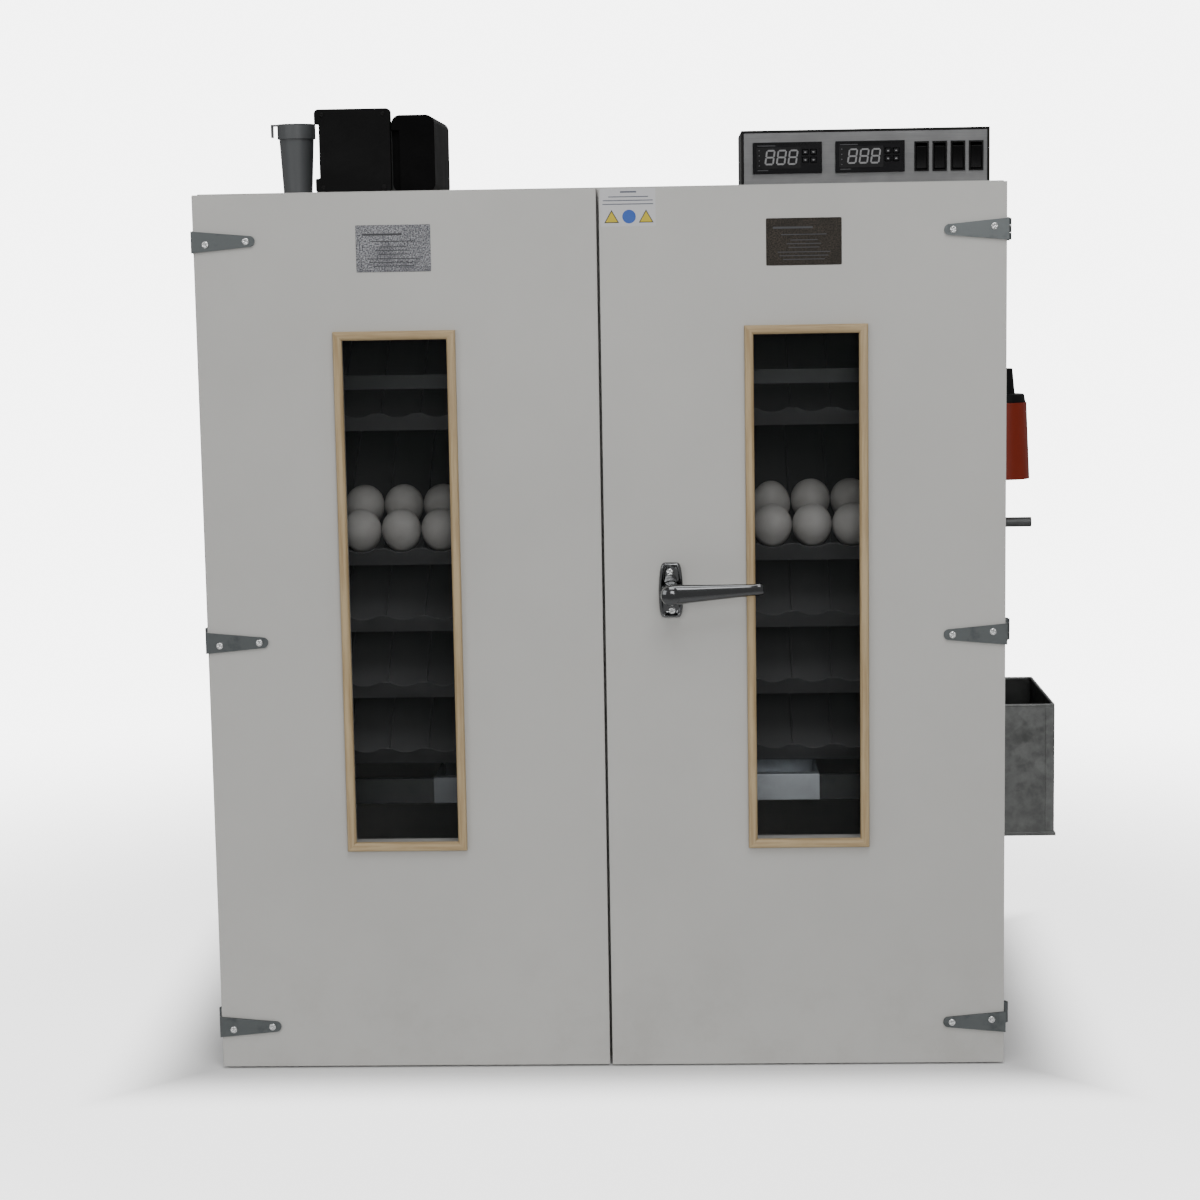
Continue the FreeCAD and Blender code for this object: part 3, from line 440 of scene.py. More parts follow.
def ring_at(mesh, centre, across, outward, wide, tall, power=2.0, points=AROUND):
    """A ring of points round a centre, spanned by two directions: round, or squarer at a higher power."""
    turns = [2 * math.pi * k / points for k in range(points)]
    return [mesh.verts.new(centre + across * wide * squared(math.cos(turn), power)
                           + outward * tall * squared(math.sin(turn), power)) for turn in turns]


def bridge(mesh, rows, ends=True):
    """Join each ring of points to the next, and close the two ends."""
    for first, second in zip(rows, rows[1:]):
        for k in range(len(first)):
            n = (k + 1) % len(first)
            mesh.faces.new((first[k], first[n], second[n], second[k]))
    if ends:
        mesh.faces.new(rows[0])
        mesh.faces.new(list(reversed(rows[-1])))


def fan(mesh, ring, tip):
    """Close a ring of points onto a single point."""
    for k in range(len(ring)):
        mesh.faces.new((ring[k], ring[(k + 1) % len(ring)], tip))


HEAD_RINGS, HEAD_POINTS, HEAD_FULL = 6, 24, 0.7
# Shares of the head: half the width and the reach of each bar of the cross, where the recess
# starts, and how much of the rise is left in it.
BAR_HALF, BAR_REACH, RECESS_FROM, RECESS_LEFT = 0.17, 0.6, 0.3, 0.45


def screw_head(radius, rise):
    """One pan head along -Y about the origin, with a cross recess pressed into it."""
    mesh = bmesh.new()
    rows = []
    for ring in range(HEAD_RINGS):
        turn = math.pi / 2 * ring / HEAD_RINGS
        centre = Vector((0, -rise * math.sin(turn) ** HEAD_FULL, 0))
        reach = radius * math.cos(turn)
        rows.append(ring_at(mesh, centre, SIDEWAYS, UPWARD, reach, reach, points=HEAD_POINTS))
    bridge(mesh, rows, ends=False)
    fan(mesh, rows[-1], mesh.verts.new((0, -rise, 0)))
    mesh.faces.new(list(reversed(rows[0])))
    # The recess sinks every point of the dome that lies under one of the cross's two bars.
    for vert in mesh.verts:
        near, far = sorted((abs(vert.co.x / radius), abs(vert.co.z / radius)))
        if near < BAR_HALF and far < BAR_REACH and vert.co.y < -RECESS_FROM * rise:
            vert.co.y *= RECESS_LEFT
    return made(mesh, "screw_head")


SEED = 7


def repeated(name, spots, pattern, finish, twist=0.4):
    """Geometry Nodes set one pattern on every spot, each turned a little, and realise them."""
    points = bpy.data.meshes.new(name + "_spots")
    points.from_pydata(spots, [], [])
    thing = shown(name, points)
    tree = bpy.data.node_groups.new(name + "_tree", "GeometryNodeTree")
    for label, kind, direction in (("Geometry", "Geometry", "INPUT"), ("Pattern", "Object", "INPUT"),
                                   ("Twist", "Float", "INPUT"), ("Geometry", "Geometry", "OUTPUT")):
        tree.interface.new_socket(label, in_out=direction, socket_type="NodeSocket" + kind)
    enter, leave, info, scatter, random, spin, times, flat, paint = [tree.nodes.new(kind) for kind in (
        "NodeGroupInput", "NodeGroupOutput", "GeometryNodeObjectInfo", "GeometryNodeInstanceOnPoints",
        "FunctionNodeRandomValue", "ShaderNodeCombineXYZ", "ShaderNodeMath",
        "GeometryNodeRealizeInstances", "GeometryNodeSetMaterial")]
    times.operation = "MULTIPLY"
    random.inputs["Seed"].default_value = SEED
    random.inputs[2].default_value = -1.0
    random.inputs[3].default_value = 1.0
    paint.inputs["Material"].default_value = finish.material
    for source, target in ((enter.outputs["Pattern"], info.inputs["Object"]),
                           (enter.outputs["Geometry"], scatter.inputs["Points"]),
                           (info.outputs["Geometry"], scatter.inputs["Instance"]),
                           (random.outputs[1], times.inputs[0]),
                           (enter.outputs["Twist"], times.inputs[1]),
                           (times.outputs[0], spin.inputs["Y"]),
                           (spin.outputs[0], scatter.inputs["Rotation"]),
                           (scatter.outputs[0], flat.inputs[0]),
                           (flat.outputs[0], paint.inputs["Geometry"]),
                           (paint.outputs[0], leave.inputs[0])):
        tree.links.new(source, target)
    modifier = thing.modifiers.new("set_out", "NODES")
    modifier.node_group = tree
    names = {item.name: item.identifier for item in tree.interface.items_tree if item.in_out == "INPUT"}
    modifier[names["Pattern"]] = pattern
    modifier[names["Twist"]] = twist
    as_mesh(thing)
    thing.data.polygons.foreach_set("use_smooth", [True] * len(thing.data.polygons))
    return finish.onto(thing)


# ------------ door hinges
# Pressed steel strap hinges, three a door, are zinc plated and dull grey with handling marks.
# Two pan-head screws hold each strap.
def zinc(name, colour, roughness, marks):
    finish = Finish(name, colour, roughness, Metallic=1.0)
    spot = finish.place()
    rubbed = finish.noise(finish.place((1.0, 1.0, 12.0)), 120.0, 4.0, 0.6)
    spots = finish.noise(spot, 55.0, 4.0, 0.6).over(0.5, 0.75)
    dull = tuple(channel * 0.62 for channel in colour)
    finish.drive("Base Color", finish.between(spots * marks, colour, dull))
    finish.drive("Roughness", roughness + rubbed * 0.18)
    finish.bump(rubbed, 0.00015, 0.5)
    return finish


zinc_finish = zinc("zinc_steel", (0.135, 0.147, 0.149), 0.40, 0.7)
screw_finish = zinc("screw_zinc", (0.62, 0.63, 0.63), 0.16, 0.3)
for node in ("left_hinge_straps", "right_hinge_straps", "cabinet_hinges", "latch_keeper"):
    carry(node, 0.0006, zinc_finish, "zinc_steel")

STRAP_HEIGHTS = (0.050, 0.4975, 0.9465)
STRAP_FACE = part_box("right_hinge_straps")[0].y
STRAP_EDGE, SCREW_FROM_EDGE, SCREW_SHIFT = 0.449, (0.014, 0.059), 0.003
big_head = screw_head(0.0042, 0.0019)
for side, sign in (("left", -1), ("right", 1)):
    # The screw nearer the edge sits above the strap's middle on the right and below it on the left.
    spots = [(sign * (STRAP_EDGE - inset), STRAP_FACE, height + shift)
             for height in STRAP_HEIGHTS for inset, shift in zip(SCREW_FROM_EDGE, (sign * SCREW_SHIFT, 0.0))]
    heads = repeated(side + "_strap_screws", spots, big_head, screw_finish, twist=1.4)
    settle(heads, side + "_door", "zinc_steel")


# ------------ latch
# Chrome-plated die castings: an oblong backplate with a raised rim and a tapering lever that is
# waisted behind its round hub. Its dark colour is a painted reflection of dim surroundings, with faint
# polishing haze.
# The chrome's base colour is darkened to paint in the reflection of a dark room.
dark_reflection_chrome = Finish("chrome", (0.17, 0.173, 0.176), 0.07, Metallic=1.0)
haze = dark_reflection_chrome.noise(dark_reflection_chrome.place(), 60.0, 4.0, 0.6)
dark_reflection_chrome.drive("Roughness", 0.05 + haze * 0.10)
plate_low, plate_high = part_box("handle_backplate")
PLATE_CENTRE = (plate_low + plate_high) / 2
PLATE_HALF_TALL, PLATE_POINTS, PLATE_SQUARE = (plate_high.z - plate_low.z) / 2, 96, 7.0
# The outline is a rounded oblong, widest at the hub and narrower at the top.
WIDTHS = ((-1.0, 0.0124), (-0.2, 0.0139), (0.2, 0.0137), (1.0, 0.0112))
# The section goes up the wall, over a rolled rim and down into the dished middle.
RIM = ((0.0, 0.0060), (0.0, 0.0020), (0.0005, 0.0009), (0.0013, 0.0001), (0.0022, 0.0), (0.0030, 0.0006),
       (0.0038, 0.0022), (0.0052, 0.0031), (0.0070, 0.0034))


def half_width(share):
    """The plate's half width at a height given as a share of its half height."""
    for (low, first), (high, second) in zip(WIDTHS, WIDTHS[1:]):
        if share <= high:
            return first + (second - first) * (share - low) / (high - low)
    return WIDTHS[-1][1]


backplate = bmesh.new()
plate_rings = []
for inset, depth in RIM:
    ring = []
    for k in range(PLATE_POINTS):
        turn = 2 * math.pi * k / PLATE_POINTS
        share = squared(math.sin(turn), PLATE_SQUARE)
        ring.append(backplate.verts.new((
            PLATE_CENTRE.x + squared(math.cos(turn), PLATE_SQUARE) * (half_width(share) - inset),
            plate_low.y + depth, PLATE_CENTRE.z + share * (PLATE_HALF_TALL - inset))))
    plate_rings.append(ring)
bridge(backplate, plate_rings)
settle(dark_reflection_chrome.onto(built(backplate, "backplate_cast")), "right_door", "chrome", "handle_backplate")

lever_low, lever_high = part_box("latch_lever")
HUB = Vector((0.0755, lever_low.y, 0.5505))
LEVER_RISE, LEVER_DEPTH = math.radians(2.9), 0.0115
# Distance along the arm, then half its height (drawn in by LEVER_SLIM) and half its depth.
LEVER_STATIONS = ((0.000, 0.0113, 0.0098), (0.010, 0.0112, 0.0092), (0.022, 0.0103, 0.0078),
                  (0.040, 0.0092, 0.0066), (0.062, 0.0081, 0.0061), (0.085, 0.0069, 0.0057),
                  (0.092, 0.0066, 0.0055), (0.0955, 0.0070, 0.0061), (0.0995, 0.0069, 0.0061),
                  (0.1022, 0.0058, 0.0052), (0.1030, 0.0036, 0.0032))
LEVER_SQUARE, LEVER_LEAN, LEVER_SLIM = 3.4, math.radians(-14), 0.97
direction = Vector((math.cos(LEVER_RISE), 0, math.sin(LEVER_RISE)))
upward = Vector((-math.sin(LEVER_RISE), 0, math.cos(LEVER_RISE)))
# The arm's broad face leans a little towards the floor, and its long edges are well rounded.
leaning = Vector((0, math.cos(LEVER_LEAN), math.sin(LEVER_LEAN)))
arm_centre = HUB + Vector((0, LEVER_DEPTH, 0))
lever_mesh = bmesh.new()
bridge(lever_mesh, [ring_at(lever_mesh, arm_centre + direction * along, upward, leaning,
                            tall * LEVER_SLIM, deep, LEVER_SQUARE) for along, tall, deep in LEVER_STATIONS])
# The hub is a stepped turning with a domed cap, and the spindle runs from it through the door.
HUB_STATIONS = ((0.0410, 0.0114), (0.0375, 0.0114), (0.0350, 0.0106), (0.0250, 0.0104), (0.0215, 0.0112),
                (0.0065, 0.0113), (0.0026, 0.0102), (0.0008, 0.0074), (0.0000, 0.0030))
SPINDLE = ((0.0400, 0.0050), (0.1080, 0.0050))
for stations in (HUB_STATIONS, SPINDLE):
    bridge(lever_mesh, [ring_at(lever_mesh, HUB + Vector((0, back, 0)), SIDEWAYS, UPWARD, radius, radius)
                        for back, radius in stations])
# The tongue is a flat bar on the spindle's inner end.
TONGUE = ((-0.009, 0.009), (0.009, 0.009), (0.009, -0.062), (0.005, -0.070), (-0.005, -0.070),
          (-0.009, -0.062))
TONGUE_THICK = 0.004
bridge(lever_mesh, [[lever_mesh.verts.new((HUB.x + x, depth, HUB.z + z)) for x, z in TONGUE]
                    for depth in (lever_high.y - TONGUE_THICK, lever_high.y)])
# The lever's chrome is darker still than the plate's, a painted dark reflection.
lever_dark_reflection = Finish("lever_dark_reflection_chrome", (0.098, 0.100, 0.102), 0.09, Metallic=1.0)
lever_dark_reflection.drive("Roughness", 0.07 + lever_dark_reflection.noise(lever_dark_reflection.place(), 60.0, 4.0, 0.6) * 0.12)
settle(lever_dark_reflection.onto(built(lever_mesh, "latch_lever_cast")), "latch", "chrome", "latch_lever")
DISH = RIM[-1][1]
backplate_screws = repeated("backplate_screws", [(x, plate_low.y + DISH, z) for x, z in (
    (0.0745, 0.5722), (0.0765, 0.5285))], big_head, screw_finish, twist=1.0)
settle(backplate_screws, "right_door", "chrome")

# ------------ name plates
# Two thin anodised plates stuck to the doors, hammered silver on the left and darker bronze on the right.
# Each has a fine raised border and plain printed rules, with no lettering.
def tablet(mesh, left, low, right, high, front, back, radius, chamfer=0.0002, steps=5):
    """A flat plate that faces -Y, with rounded corners and a chamfered front edge."""
    rings = []
    for inset, depth in ((0.0, back), (0.0, front + chamfer), (chamfer, front)):
        ring = []
        for x, z, start in ((right - radius, high - radius, 0), (left + radius, high - radius, 90),
                            (left + radius, low + radius, 180), (right - radius, low + radius, 270)):
            for step in range(steps + 1):
                turn = math.radians(start + 90 * step / steps)
                ring.append(mesh.verts.new((x + (radius - inset) * math.cos(turn), depth,
                                            z + (radius - inset) * math.sin(turn))))
        rings.append(ring)
    bridge(mesh, rings)


def fitted(mesh, name, finish, body, slot):
    """Build a small visible-only piece and let it ride on a body."""
    settle(finish.onto(built(mesh, name)), body, slot)


def surround(mesh, left, low, right, high, rim, front, back):
    """A rectangular rim of one width that faces -Y."""
    outer = [(left, low), (right, low), (right, high), (left, high)]
    inner = [(left + rim, low + rim), (right - rim, low + rim), (right - rim, high - rim),
             (left + rim, high - rim)]
    rows = [[mesh.verts.new((x, depth, z)) for x, z in corners]
            for corners, depth in ((outer, back), (outer, front), (inner, front), (inner, back))]
    bridge(mesh, rows + rows[:1], ends=False)


def anodised(name, light, dark):
    """Hammered plate: a fine bright and dark speckle in the metal's own colour."""
    finish = Finish(name, light, 0.4, Metallic=0.35, Specular_IOR_Level=0.2)
    spot = finish.place()
    speckle = finish.noise(spot, 620.0, 3.0, 0.7)
    wash = finish.noise(spot, 45.0, 4.0, 0.6)
    base = finish.between(speckle.over(0.40, 0.62), dark, light)
    finish.drive("Base Color", finish.between(wash.over(0.35, 0.7) * 0.5, base, dark))
    finish.drive("Roughness", 0.32 + speckle * 0.25)
    finish.bump(speckle, 0.0002, 0.5)
    return finish


DOOR_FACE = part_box("right_door_panel")[0].y
PLATE_INNER, PLATE_OUTER, PLATE_LOW, PLATE_HIGH = 0.185, 0.268, 0.9105, 0.962
PLATE_THICK, PLATE_CORNER = 0.0006, 0.0012
RULES = ((-0.012, 0.044, 0.0400, 0.0022), (0.0, 0.050, 0.0330, 0.0010), (0.0, 0.030, 0.0270, 0.0009),
         (0.0, 0.038, 0.0230, 0.0009), (0.0, 0.034, 0.0190, 0.0009), (0.0, 0.058, 0.0140, 0.0009),
         (0.0, 0.054, 0.0100, 0.0009), (0.0, 0.046, 0.0060, 0.0009))
plate_finishes = {"left": anodised("silver_plate", (0.39, 0.395, 0.41), (0.075, 0.075, 0.085)),
                  "right": anodised("bronze_plate", (0.050, 0.041, 0.032), (0.014, 0.012, 0.010))}
print_finish = Finish("plate_print", (0.035, 0.036, 0.040), 0.55)
print_finish.drive("Roughness", 0.45 + print_finish.noise(print_finish.place(), 400.0) * 0.2)
for side, sign in (("left", -1), ("right", 1)):
    left, right = sorted((sign * PLATE_INNER, sign * PLATE_OUTER))
    middle = (left + right) / 2
    plate = bmesh.new()
    tablet(plate, left, PLATE_LOW, right, PLATE_HIGH, DOOR_FACE - PLATE_THICK, DOOR_FACE, PLATE_CORNER)
    surround(plate, left + 0.0018, PLATE_LOW + 0.0018, right - 0.0018, PLATE_HIGH - 0.0018, 0.0005,
             DOOR_FACE - PLATE_THICK - 0.0001, DOOR_FACE - PLATE_THICK / 2)
    fitted(plate, side + "_name_plate", plate_finishes[side], side + "_door", "panel_silver")
    rules = bmesh.new()
    for shift, wide, up, tall in RULES:
        tablet(rules, middle + shift - wide / 2, PLATE_LOW + up, middle + shift + wide / 2,
               PLATE_LOW + up + tall, DOOR_FACE - PLATE_THICK - 0.00008, DOOR_FACE - PLATE_THICK / 2,
               tall * 0.3, 0.00002, 2)
    fitted(rules, side + "_plate_rules", print_finish, side + "_door", "black_plastic")


# ------------ door notice
# A small printed film at the top corner of the right door: a few plain rules over two yellow triangles
# and a blue disc, without words or pictures.
def film(name, colour):
    finish = Finish(name, colour, 0.45)
    finish.drive("Roughness", 0.38 + finish.noise(finish.place(), 500.0) * 0.2)
    return finish


def triangle(mesh, x, z, side, front, back):
    """An upright triangle that faces -Y."""
    tall = side * math.sqrt(3) / 2
    corners = [(x - side / 2, z - tall / 3), (x + side / 2, z - tall / 3), (x, z + 2 * tall / 3)]
    bridge(mesh, [[mesh.verts.new((across, depth, up)) for across, up in corners] for depth in (back, front)])


FILM = 0.00012
NOTICE_RULES = ((0.034, 0.9925, 0.018, 0.0018), (0.034, 0.9876, 0.044, 0.0011),
                (0.0335, 0.9836, 0.055, 0.0011), (0.0335, 0.9796, 0.056, 0.0011))
TRIANGLES_X, TRIANGLE_Z, BORDER_SIDE, TRIANGLE_SIDE = (0.0155, 0.0535), 0.9645, 0.0165, 0.0130
backing, words, borders, triangles, disc = (bmesh.new() for piece in range(5))
tablet(backing, 0.003, 0.956, 0.064, 0.9975, DOOR_FACE - FILM / 2, DOOR_FACE + FILM, 0.001, 0.00002)
for middle, low, wide, tall in NOTICE_RULES:
    tablet(words, middle - wide / 2, low, middle + wide / 2, low + tall, DOOR_FACE - FILM, DOOR_FACE,
           tall * 0.3, 0.00002, 2)
for x in TRIANGLES_X:
    triangle(borders, x, TRIANGLE_Z, BORDER_SIDE, DOOR_FACE - FILM, DOOR_FACE)
    triangle(triangles, x, TRIANGLE_Z, TRIANGLE_SIDE, DOOR_FACE - 2 * FILM, DOOR_FACE)
tablet(disc, 0.0272, 0.9590, 0.0422, 0.9740, DOOR_FACE - FILM, DOOR_FACE, 0.0075, 0.00003, 10)
for mesh, piece, name, colour, slot in (
        (backing, "notice_film", "notice_film", (0.50, 0.50, 0.51), "door_laminate"),
        (words, "notice_rules", "notice_ink", (0.10, 0.11, 0.14), "black_plastic"),
        (borders, "notice_borders", "notice_edge", (0.06, 0.055, 0.03), "black_plastic"),
        (triangles, "notice_triangles", "notice_yellow", (0.52, 0.40, 0.015), "orange_plastic"),
        (disc, "notice_disc", "notice_blue", (0.022, 0.085, 0.36), "grey_plastic")):
    fitted(mesh, piece, film(name, colour), "right_door", slot)


# ------------ rack, levels and link
# Zinc-plated strips and rails, dulled by damp. Six welded cradles turn on their shafts in the strips,
# and an upright bar on their crank pins turns them together.
rack_finish = zinc("rack_zinc", (0.070, 0.073, 0.074), 0.42, 0.6)
cradle_finish = zinc("cradle_steel", (0.115, 0.118, 0.118), 0.46, 0.7)
carry("rack_frame", 0.0006, rack_finish, "dark_steel")
LEVELS = range(1, 7)
for level in LEVELS:
    carry("cradle_%d" % level, 0.0005, cradle_finish, "dark_steel")
carry("link_bar", 0.0005, rack_finish, "dark_steel")


# ------------ egg trays
# Moulded dark grey plastic with a wavy rim and a faint cloudy bloom from washing.
# The same recipe serves every moulded part, with dust on what faces up.
def moulded(name, colour, roughness, bloom, grain=500.0, shine=0.12):
    """Moulded plastic: a fine spark-eroded grain, cloudy where it is rubbed, with dust on what faces up."""
    finish = Finish(name, colour, roughness, Specular_IOR_Level=shine)
    spot = finish.place()
    spark = finish.noise(spot, grain, 2.0)
    cloud = finish.noise(spot, 16.0, 4.0, 0.65).over(0.42, 0.75)
    pale = tuple(channel + bloom for channel in colour)
    facing = finish.node("ShaderNodeNewGeometry", None, "Normal")
    upwards = finish.part("Z", facing).over(0.55, 0.95)
    dusty = upwards * (0.35 + finish.noise(spot, 60.0, 5.0, 0.7).over(0.2, 0.85) * 0.4)
    dust_colour = tuple(channel * 0.8 + 0.026 for channel in colour)
    finish.drive("Base Color", finish.between(dusty, finish.between(cloud, colour, pale), dust_colour))
    finish.drive("Roughness", roughness + spark * 0.14 - cloud * 0.05)
    finish.bump(spark, 0.0002, 0.45)
    return finish


tray_finish = moulded("tray_plastic", (0.092, 0.094, 0.097), 0.40, 0.026, shine=0.35)
for level in LEVELS:
    if "trays_%d" % level in NODES:
        carry("trays_%d" % level, 0.0006, tray_finish, "tray_plastic")


# ------------ eggs
# White hen's eggs stand in the two front rows of the third level, broad end up but for one.
# The shell is matt, slightly uneven and faintly pored.
EGG_WIDE, EGG_HALF = 0.0231, 0.0275
TILT = math.radians(35)
COLUMNS, CELL, ROW = 8, 0.0465, 0.045
TRAY_MIDDLE, TRAY_HALF, EGG_FOOT = 0.217, 0.190, 0.0092
SHAFT_Y, SHAFT_Z = 0.008, 0.672
UPTURNED = (1, 3, 1)


EGG_POINTS, EGG_RINGS, EGG_TAPER, EGG_WIDEST = 28, 20, 0.13, 1.01


def egg_pattern(name, broad_up):
    """One egg about its own leaning axis, its foot at the origin, from a smooth rule for its radius."""
    mesh = bmesh.new()
    lean = Matrix.Rotation(TILT, 3, "X")
    rows = []
    for ring in range(1, EGG_RINGS):
        angle = math.pi * ring / EGG_RINGS
        taper = 1 + EGG_TAPER * math.cos(angle) * (-1 if broad_up else 1)
        radius = EGG_WIDE * math.sin(angle) * taper / EGG_WIDEST
        centre = lean @ Vector((0, 0, EGG_HALF * (1 - math.cos(angle))))
        rows.append(ring_at(mesh, centre, SIDEWAYS, lean @ Vector((0, 1, 0)), radius, radius,
                            points=EGG_POINTS))
    bridge(mesh, rows, ends=False)
    fan(mesh, rows[0], mesh.verts.new((0, 0, 0)))
    fan(mesh, rows[-1], mesh.verts.new(lean @ Vector((0, 0, 2 * EGG_HALF))))
    return made(mesh, name)


shell_finish = Finish("eggshell", (0.66, 0.65, 0.63), 0.5, Specular_IOR_Level=0.25)
pores = shell_finish.noise(shell_finish.place(), 420.0, 3.0)
bloom = shell_finish.noise(shell_finish.place(), 26.0, 3.0, 0.6).over(0.35, 0.75)
shell_finish.drive("Base Color", shell_finish.between(bloom, (0.57, 0.56, 0.545), (0.47, 0.458, 0.44)))
shell_finish.drive("Roughness", 0.44 + pores * 0.16)
shell_finish.bump(pores, 0.00015, 0.5)
standing, upturned = [], []
for side in (-1, 1):
    for column in range(COLUMNS):
        for line in (0, 1):
            across = side * (TRAY_MIDDLE + (column - (COLUMNS - 1) / 2) * CELL)
            along = 0.003 - TRAY_HALF + (line + 0.5) * ROW
            spot = Vector((across, SHAFT_Y, SHAFT_Z)) + Matrix.Rotation(TILT, 3, "X") @ Vector(
                (0, along, EGG_FOOT))
            (upturned if (side, column, line) == UPTURNED else standing).append(tuple(spot))
for name, spots, broad_up in (("eggs_standing", standing, True), ("egg_upturned", upturned, False)):
    clutch = repeated(name, spots, egg_pattern(name + "_pattern", broad_up), shell_finish, twist=0.0)
    settle(clutch, BODY_OF["eggs"], "eggshell", "eggs")


# ------------ water pan and tank
# Both are folded from spangled galvanised sheet. The tank's rim is rolled over a wire, and its corner
# seams are lapped and soldered.
def galvanised(name, light, dark, size, metal, shaded):
    """Hot-dip zinc: crystals of slightly different brightness with dull streaks and stains, and one part
    darkened as painted shade.
    """
    finish = Finish(name, light, 0.4, Metallic=metal)
    spot = finish.place()
    crystal = finish.node("ShaderNodeTexVoronoi", {"feature": "SMOOTH_F1"}, "Color", Vector=spot, Scale=size,
                          Smoothness=0.35)
    mottle = finish.noise(spot, size * 0.5, 5.0, 0.65).over(0.32, 0.68)
    tone = 0.35 * finish.part("X", crystal) + 0.65 * mottle
    streak = finish.noise(finish.place((1.0, 1.0, 0.25)), 22.0, 4.0, 0.6)
    stain = finish.noise(spot, 9.0, 4.0, 0.65).over(0.45, 0.75)
    base = finish.between(tone, dark, light)
    base = finish.between(streak.over(0.35, 0.7) * 0.45, base, light)
    base = finish.between(stain * 0.35, base, dark)
    # The part that the shaded mask picks out is darkened as painted shade.
    finish.drive("Base Color", finish.between(shaded(finish), base, tuple(0.42 * tint for tint in dark)))
    finish.drive("Roughness", 0.30 + tone * 0.14 + stain * 0.12)
    finish.bump(streak, 0.0003, 0.3)
    return finish


tank_low, tank_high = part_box("water_tank")
RIM_WIRE, TANK_WALL, TANK_SIDE, FOOT_PROUD = 0.0017, 0.002, 0.450, 0.002


def painted_shade_in_tank(finish):
    """1 on the faces within the tank's walls, which are darkened there as painted shade, and 0 outside."""
    half = TANK_WALL / 2
    right, front, back = tank_high.x - FOOT_PROUD, tank_low.y + FOOT_PROUD, tank_high.y - FOOT_PROUD
    in_x = 1.0 - finish.part("X").over(right - half * 1.4, right - half * 0.6)
    in_front = finish.part("Y").over(front + half * 0.6, front + half * 1.4)
    in_back = 1.0 - finish.part("Y").over(back - half * 1.4, back - half * 0.6)
    below = 1.0 - finish.part("Z").over(tank_high.z - 0.004, tank_high.z - 0.003)
    return in_x * in_front * in_back * below * 0.9


def painted_shade_at_pan_left(finish):
    """1 towards the left end of the pan, which is darkened there as painted shade."""
    return (1.0 - finish.part("X").over(-0.140, 0.180)) * 0.94


# The pan's left end and the tank's inside are darkened with painted shade.
pan_finish = galvanised("pan_zinc", (0.62, 0.67, 0.72), (0.46, 0.49, 0.52), 70.0, 0.75, painted_shade_at_pan_left)
tank_finish = galvanised("tank_zinc", (0.185, 0.190, 0.186), (0.085, 0.088, 0.086), 95.0, 0.7, painted_shade_in_tank)
carry("water_pan", 0.0005, pan_finish, "galvanised")
carry("water_tank", 0.0006, tank_finish, "galvanised")
rim = bpy.data.curves.new("tank_rim_path", "CURVE")
rim.dimensions = "3D"
rim.bevel_depth = RIM_WIRE
rim.bevel_resolution = 3
run = rim.splines.new("POLY")
front, back = tank_low.y + FOOT_PROUD + TANK_WALL / 2, tank_high.y - FOOT_PROUD - TANK_WALL / 2
outside = tank_high.x - FOOT_PROUD - TANK_WALL / 2
CORNER, CORNER_STEPS = 0.006, 5
route = [(TANK_SIDE + 0.002, front)]
for x, y, start in ((outside - CORNER, front + CORNER, -90), (outside - CORNER, back - CORNER, 0)):
    for step in range(CORNER_STEPS + 1):
        turn = math.radians(start + 90 * step / CORNER_STEPS)
        route.append((x + CORNER * math.cos(turn), y + CORNER * math.sin(turn)))
route.append((TANK_SIDE + 0.002, back))
run.points.add(len(route) - 1)
for point, (x, y) in zip(run.points, route):
    point.co = (x, y, tank_high.z - RIM_WIRE, 1.0)
rim.use_fill_caps = True
tank_rim = as_mesh(shown("tank_rim", rim), "tank_rolled_rim")
settle(tank_finish.onto(smoothed(tank_rim)), "cabinet", "galvanised")
seams = bmesh.new()
SEAM_WIDE, SEAM_PROUD = 0.010, 0.0007
tablet(seams, outside - SEAM_WIDE, tank_low.z + 0.006, outside + TANK_WALL / 2, tank_high.z - 0.004,
       tank_low.y + FOOT_PROUD - SEAM_PROUD, tank_low.y + FOOT_PROUD + TANK_WALL / 2, 0.0010)
fitted(seams, "tank_corner_seam", tank_finish, "cabinet", "galvanised")


# ------------ turning drive
# A tapered orange-red moulding holds the motor and gears on the right side, under a black cap whose
# gland takes the lead. A second shaft end, plain steel, stands out below it.
drive_finish = moulded("drive_orange", (0.190, 0.016, 0.004), 0.34, 0.006, 300.0, 0.25)
black_finish = moulded("black_plastic", (0.0055, 0.0052, 0.0052), 0.44, 0.003)
carry("actuator_body", 0.0016, drive_finish, "orange_plastic")
carry("actuator_end_cap", 0.0010, black_finish, "black_plastic")


# ------------ fan, heater and sensor
# A six-bladed fan on a small motor stirs the air through a ring heater on the back wall. A steel
# probe hangs from the roof behind the doors.
carry("fan_wheel", 0.0005, black_finish, "black_plastic")
carry("fan_motor", 0.0010, black_finish, "black_plastic")
carry("heater", 0.0005, cradle_finish, "dark_steel")
carry("temperature_sensor", 0.0008, rack_finish, "dark_steel")


# ------------ filler cup
# A grey moulded beaker drops into the roof. It tapers, has a deep collar and hangs by a small hook
# when it is taken out.
cup_finish = moulded("cup_grey", (0.076, 0.080, 0.083), 0.38, 0.014, 350.0, 0.3)
carry("filler_cup", 0.0006, cup_finish, "grey_plastic")


# ------------ roof housings
# A black terminal box with a screwed lid, and a longer power supply housing beside it. Both are
# textured ABS, a little dusty on top.
housing_finish = moulded("housing_black", (0.0030, 0.0030, 0.0031), 0.52, 0.002, 420.0, 0.09)
supply_finish = moulded("supply_black", (0.0020, 0.0020, 0.0021), 0.55, 0.001, 420.0, 0.04)
for node, finish in (("junction_box", housing_finish), ("junction_lid", housing_finish),
                     ("transformer_housing", supply_finish)):
    carry(node, 0.0014, finish, "black_plastic")
lid_low, lid_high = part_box("junction_lid")
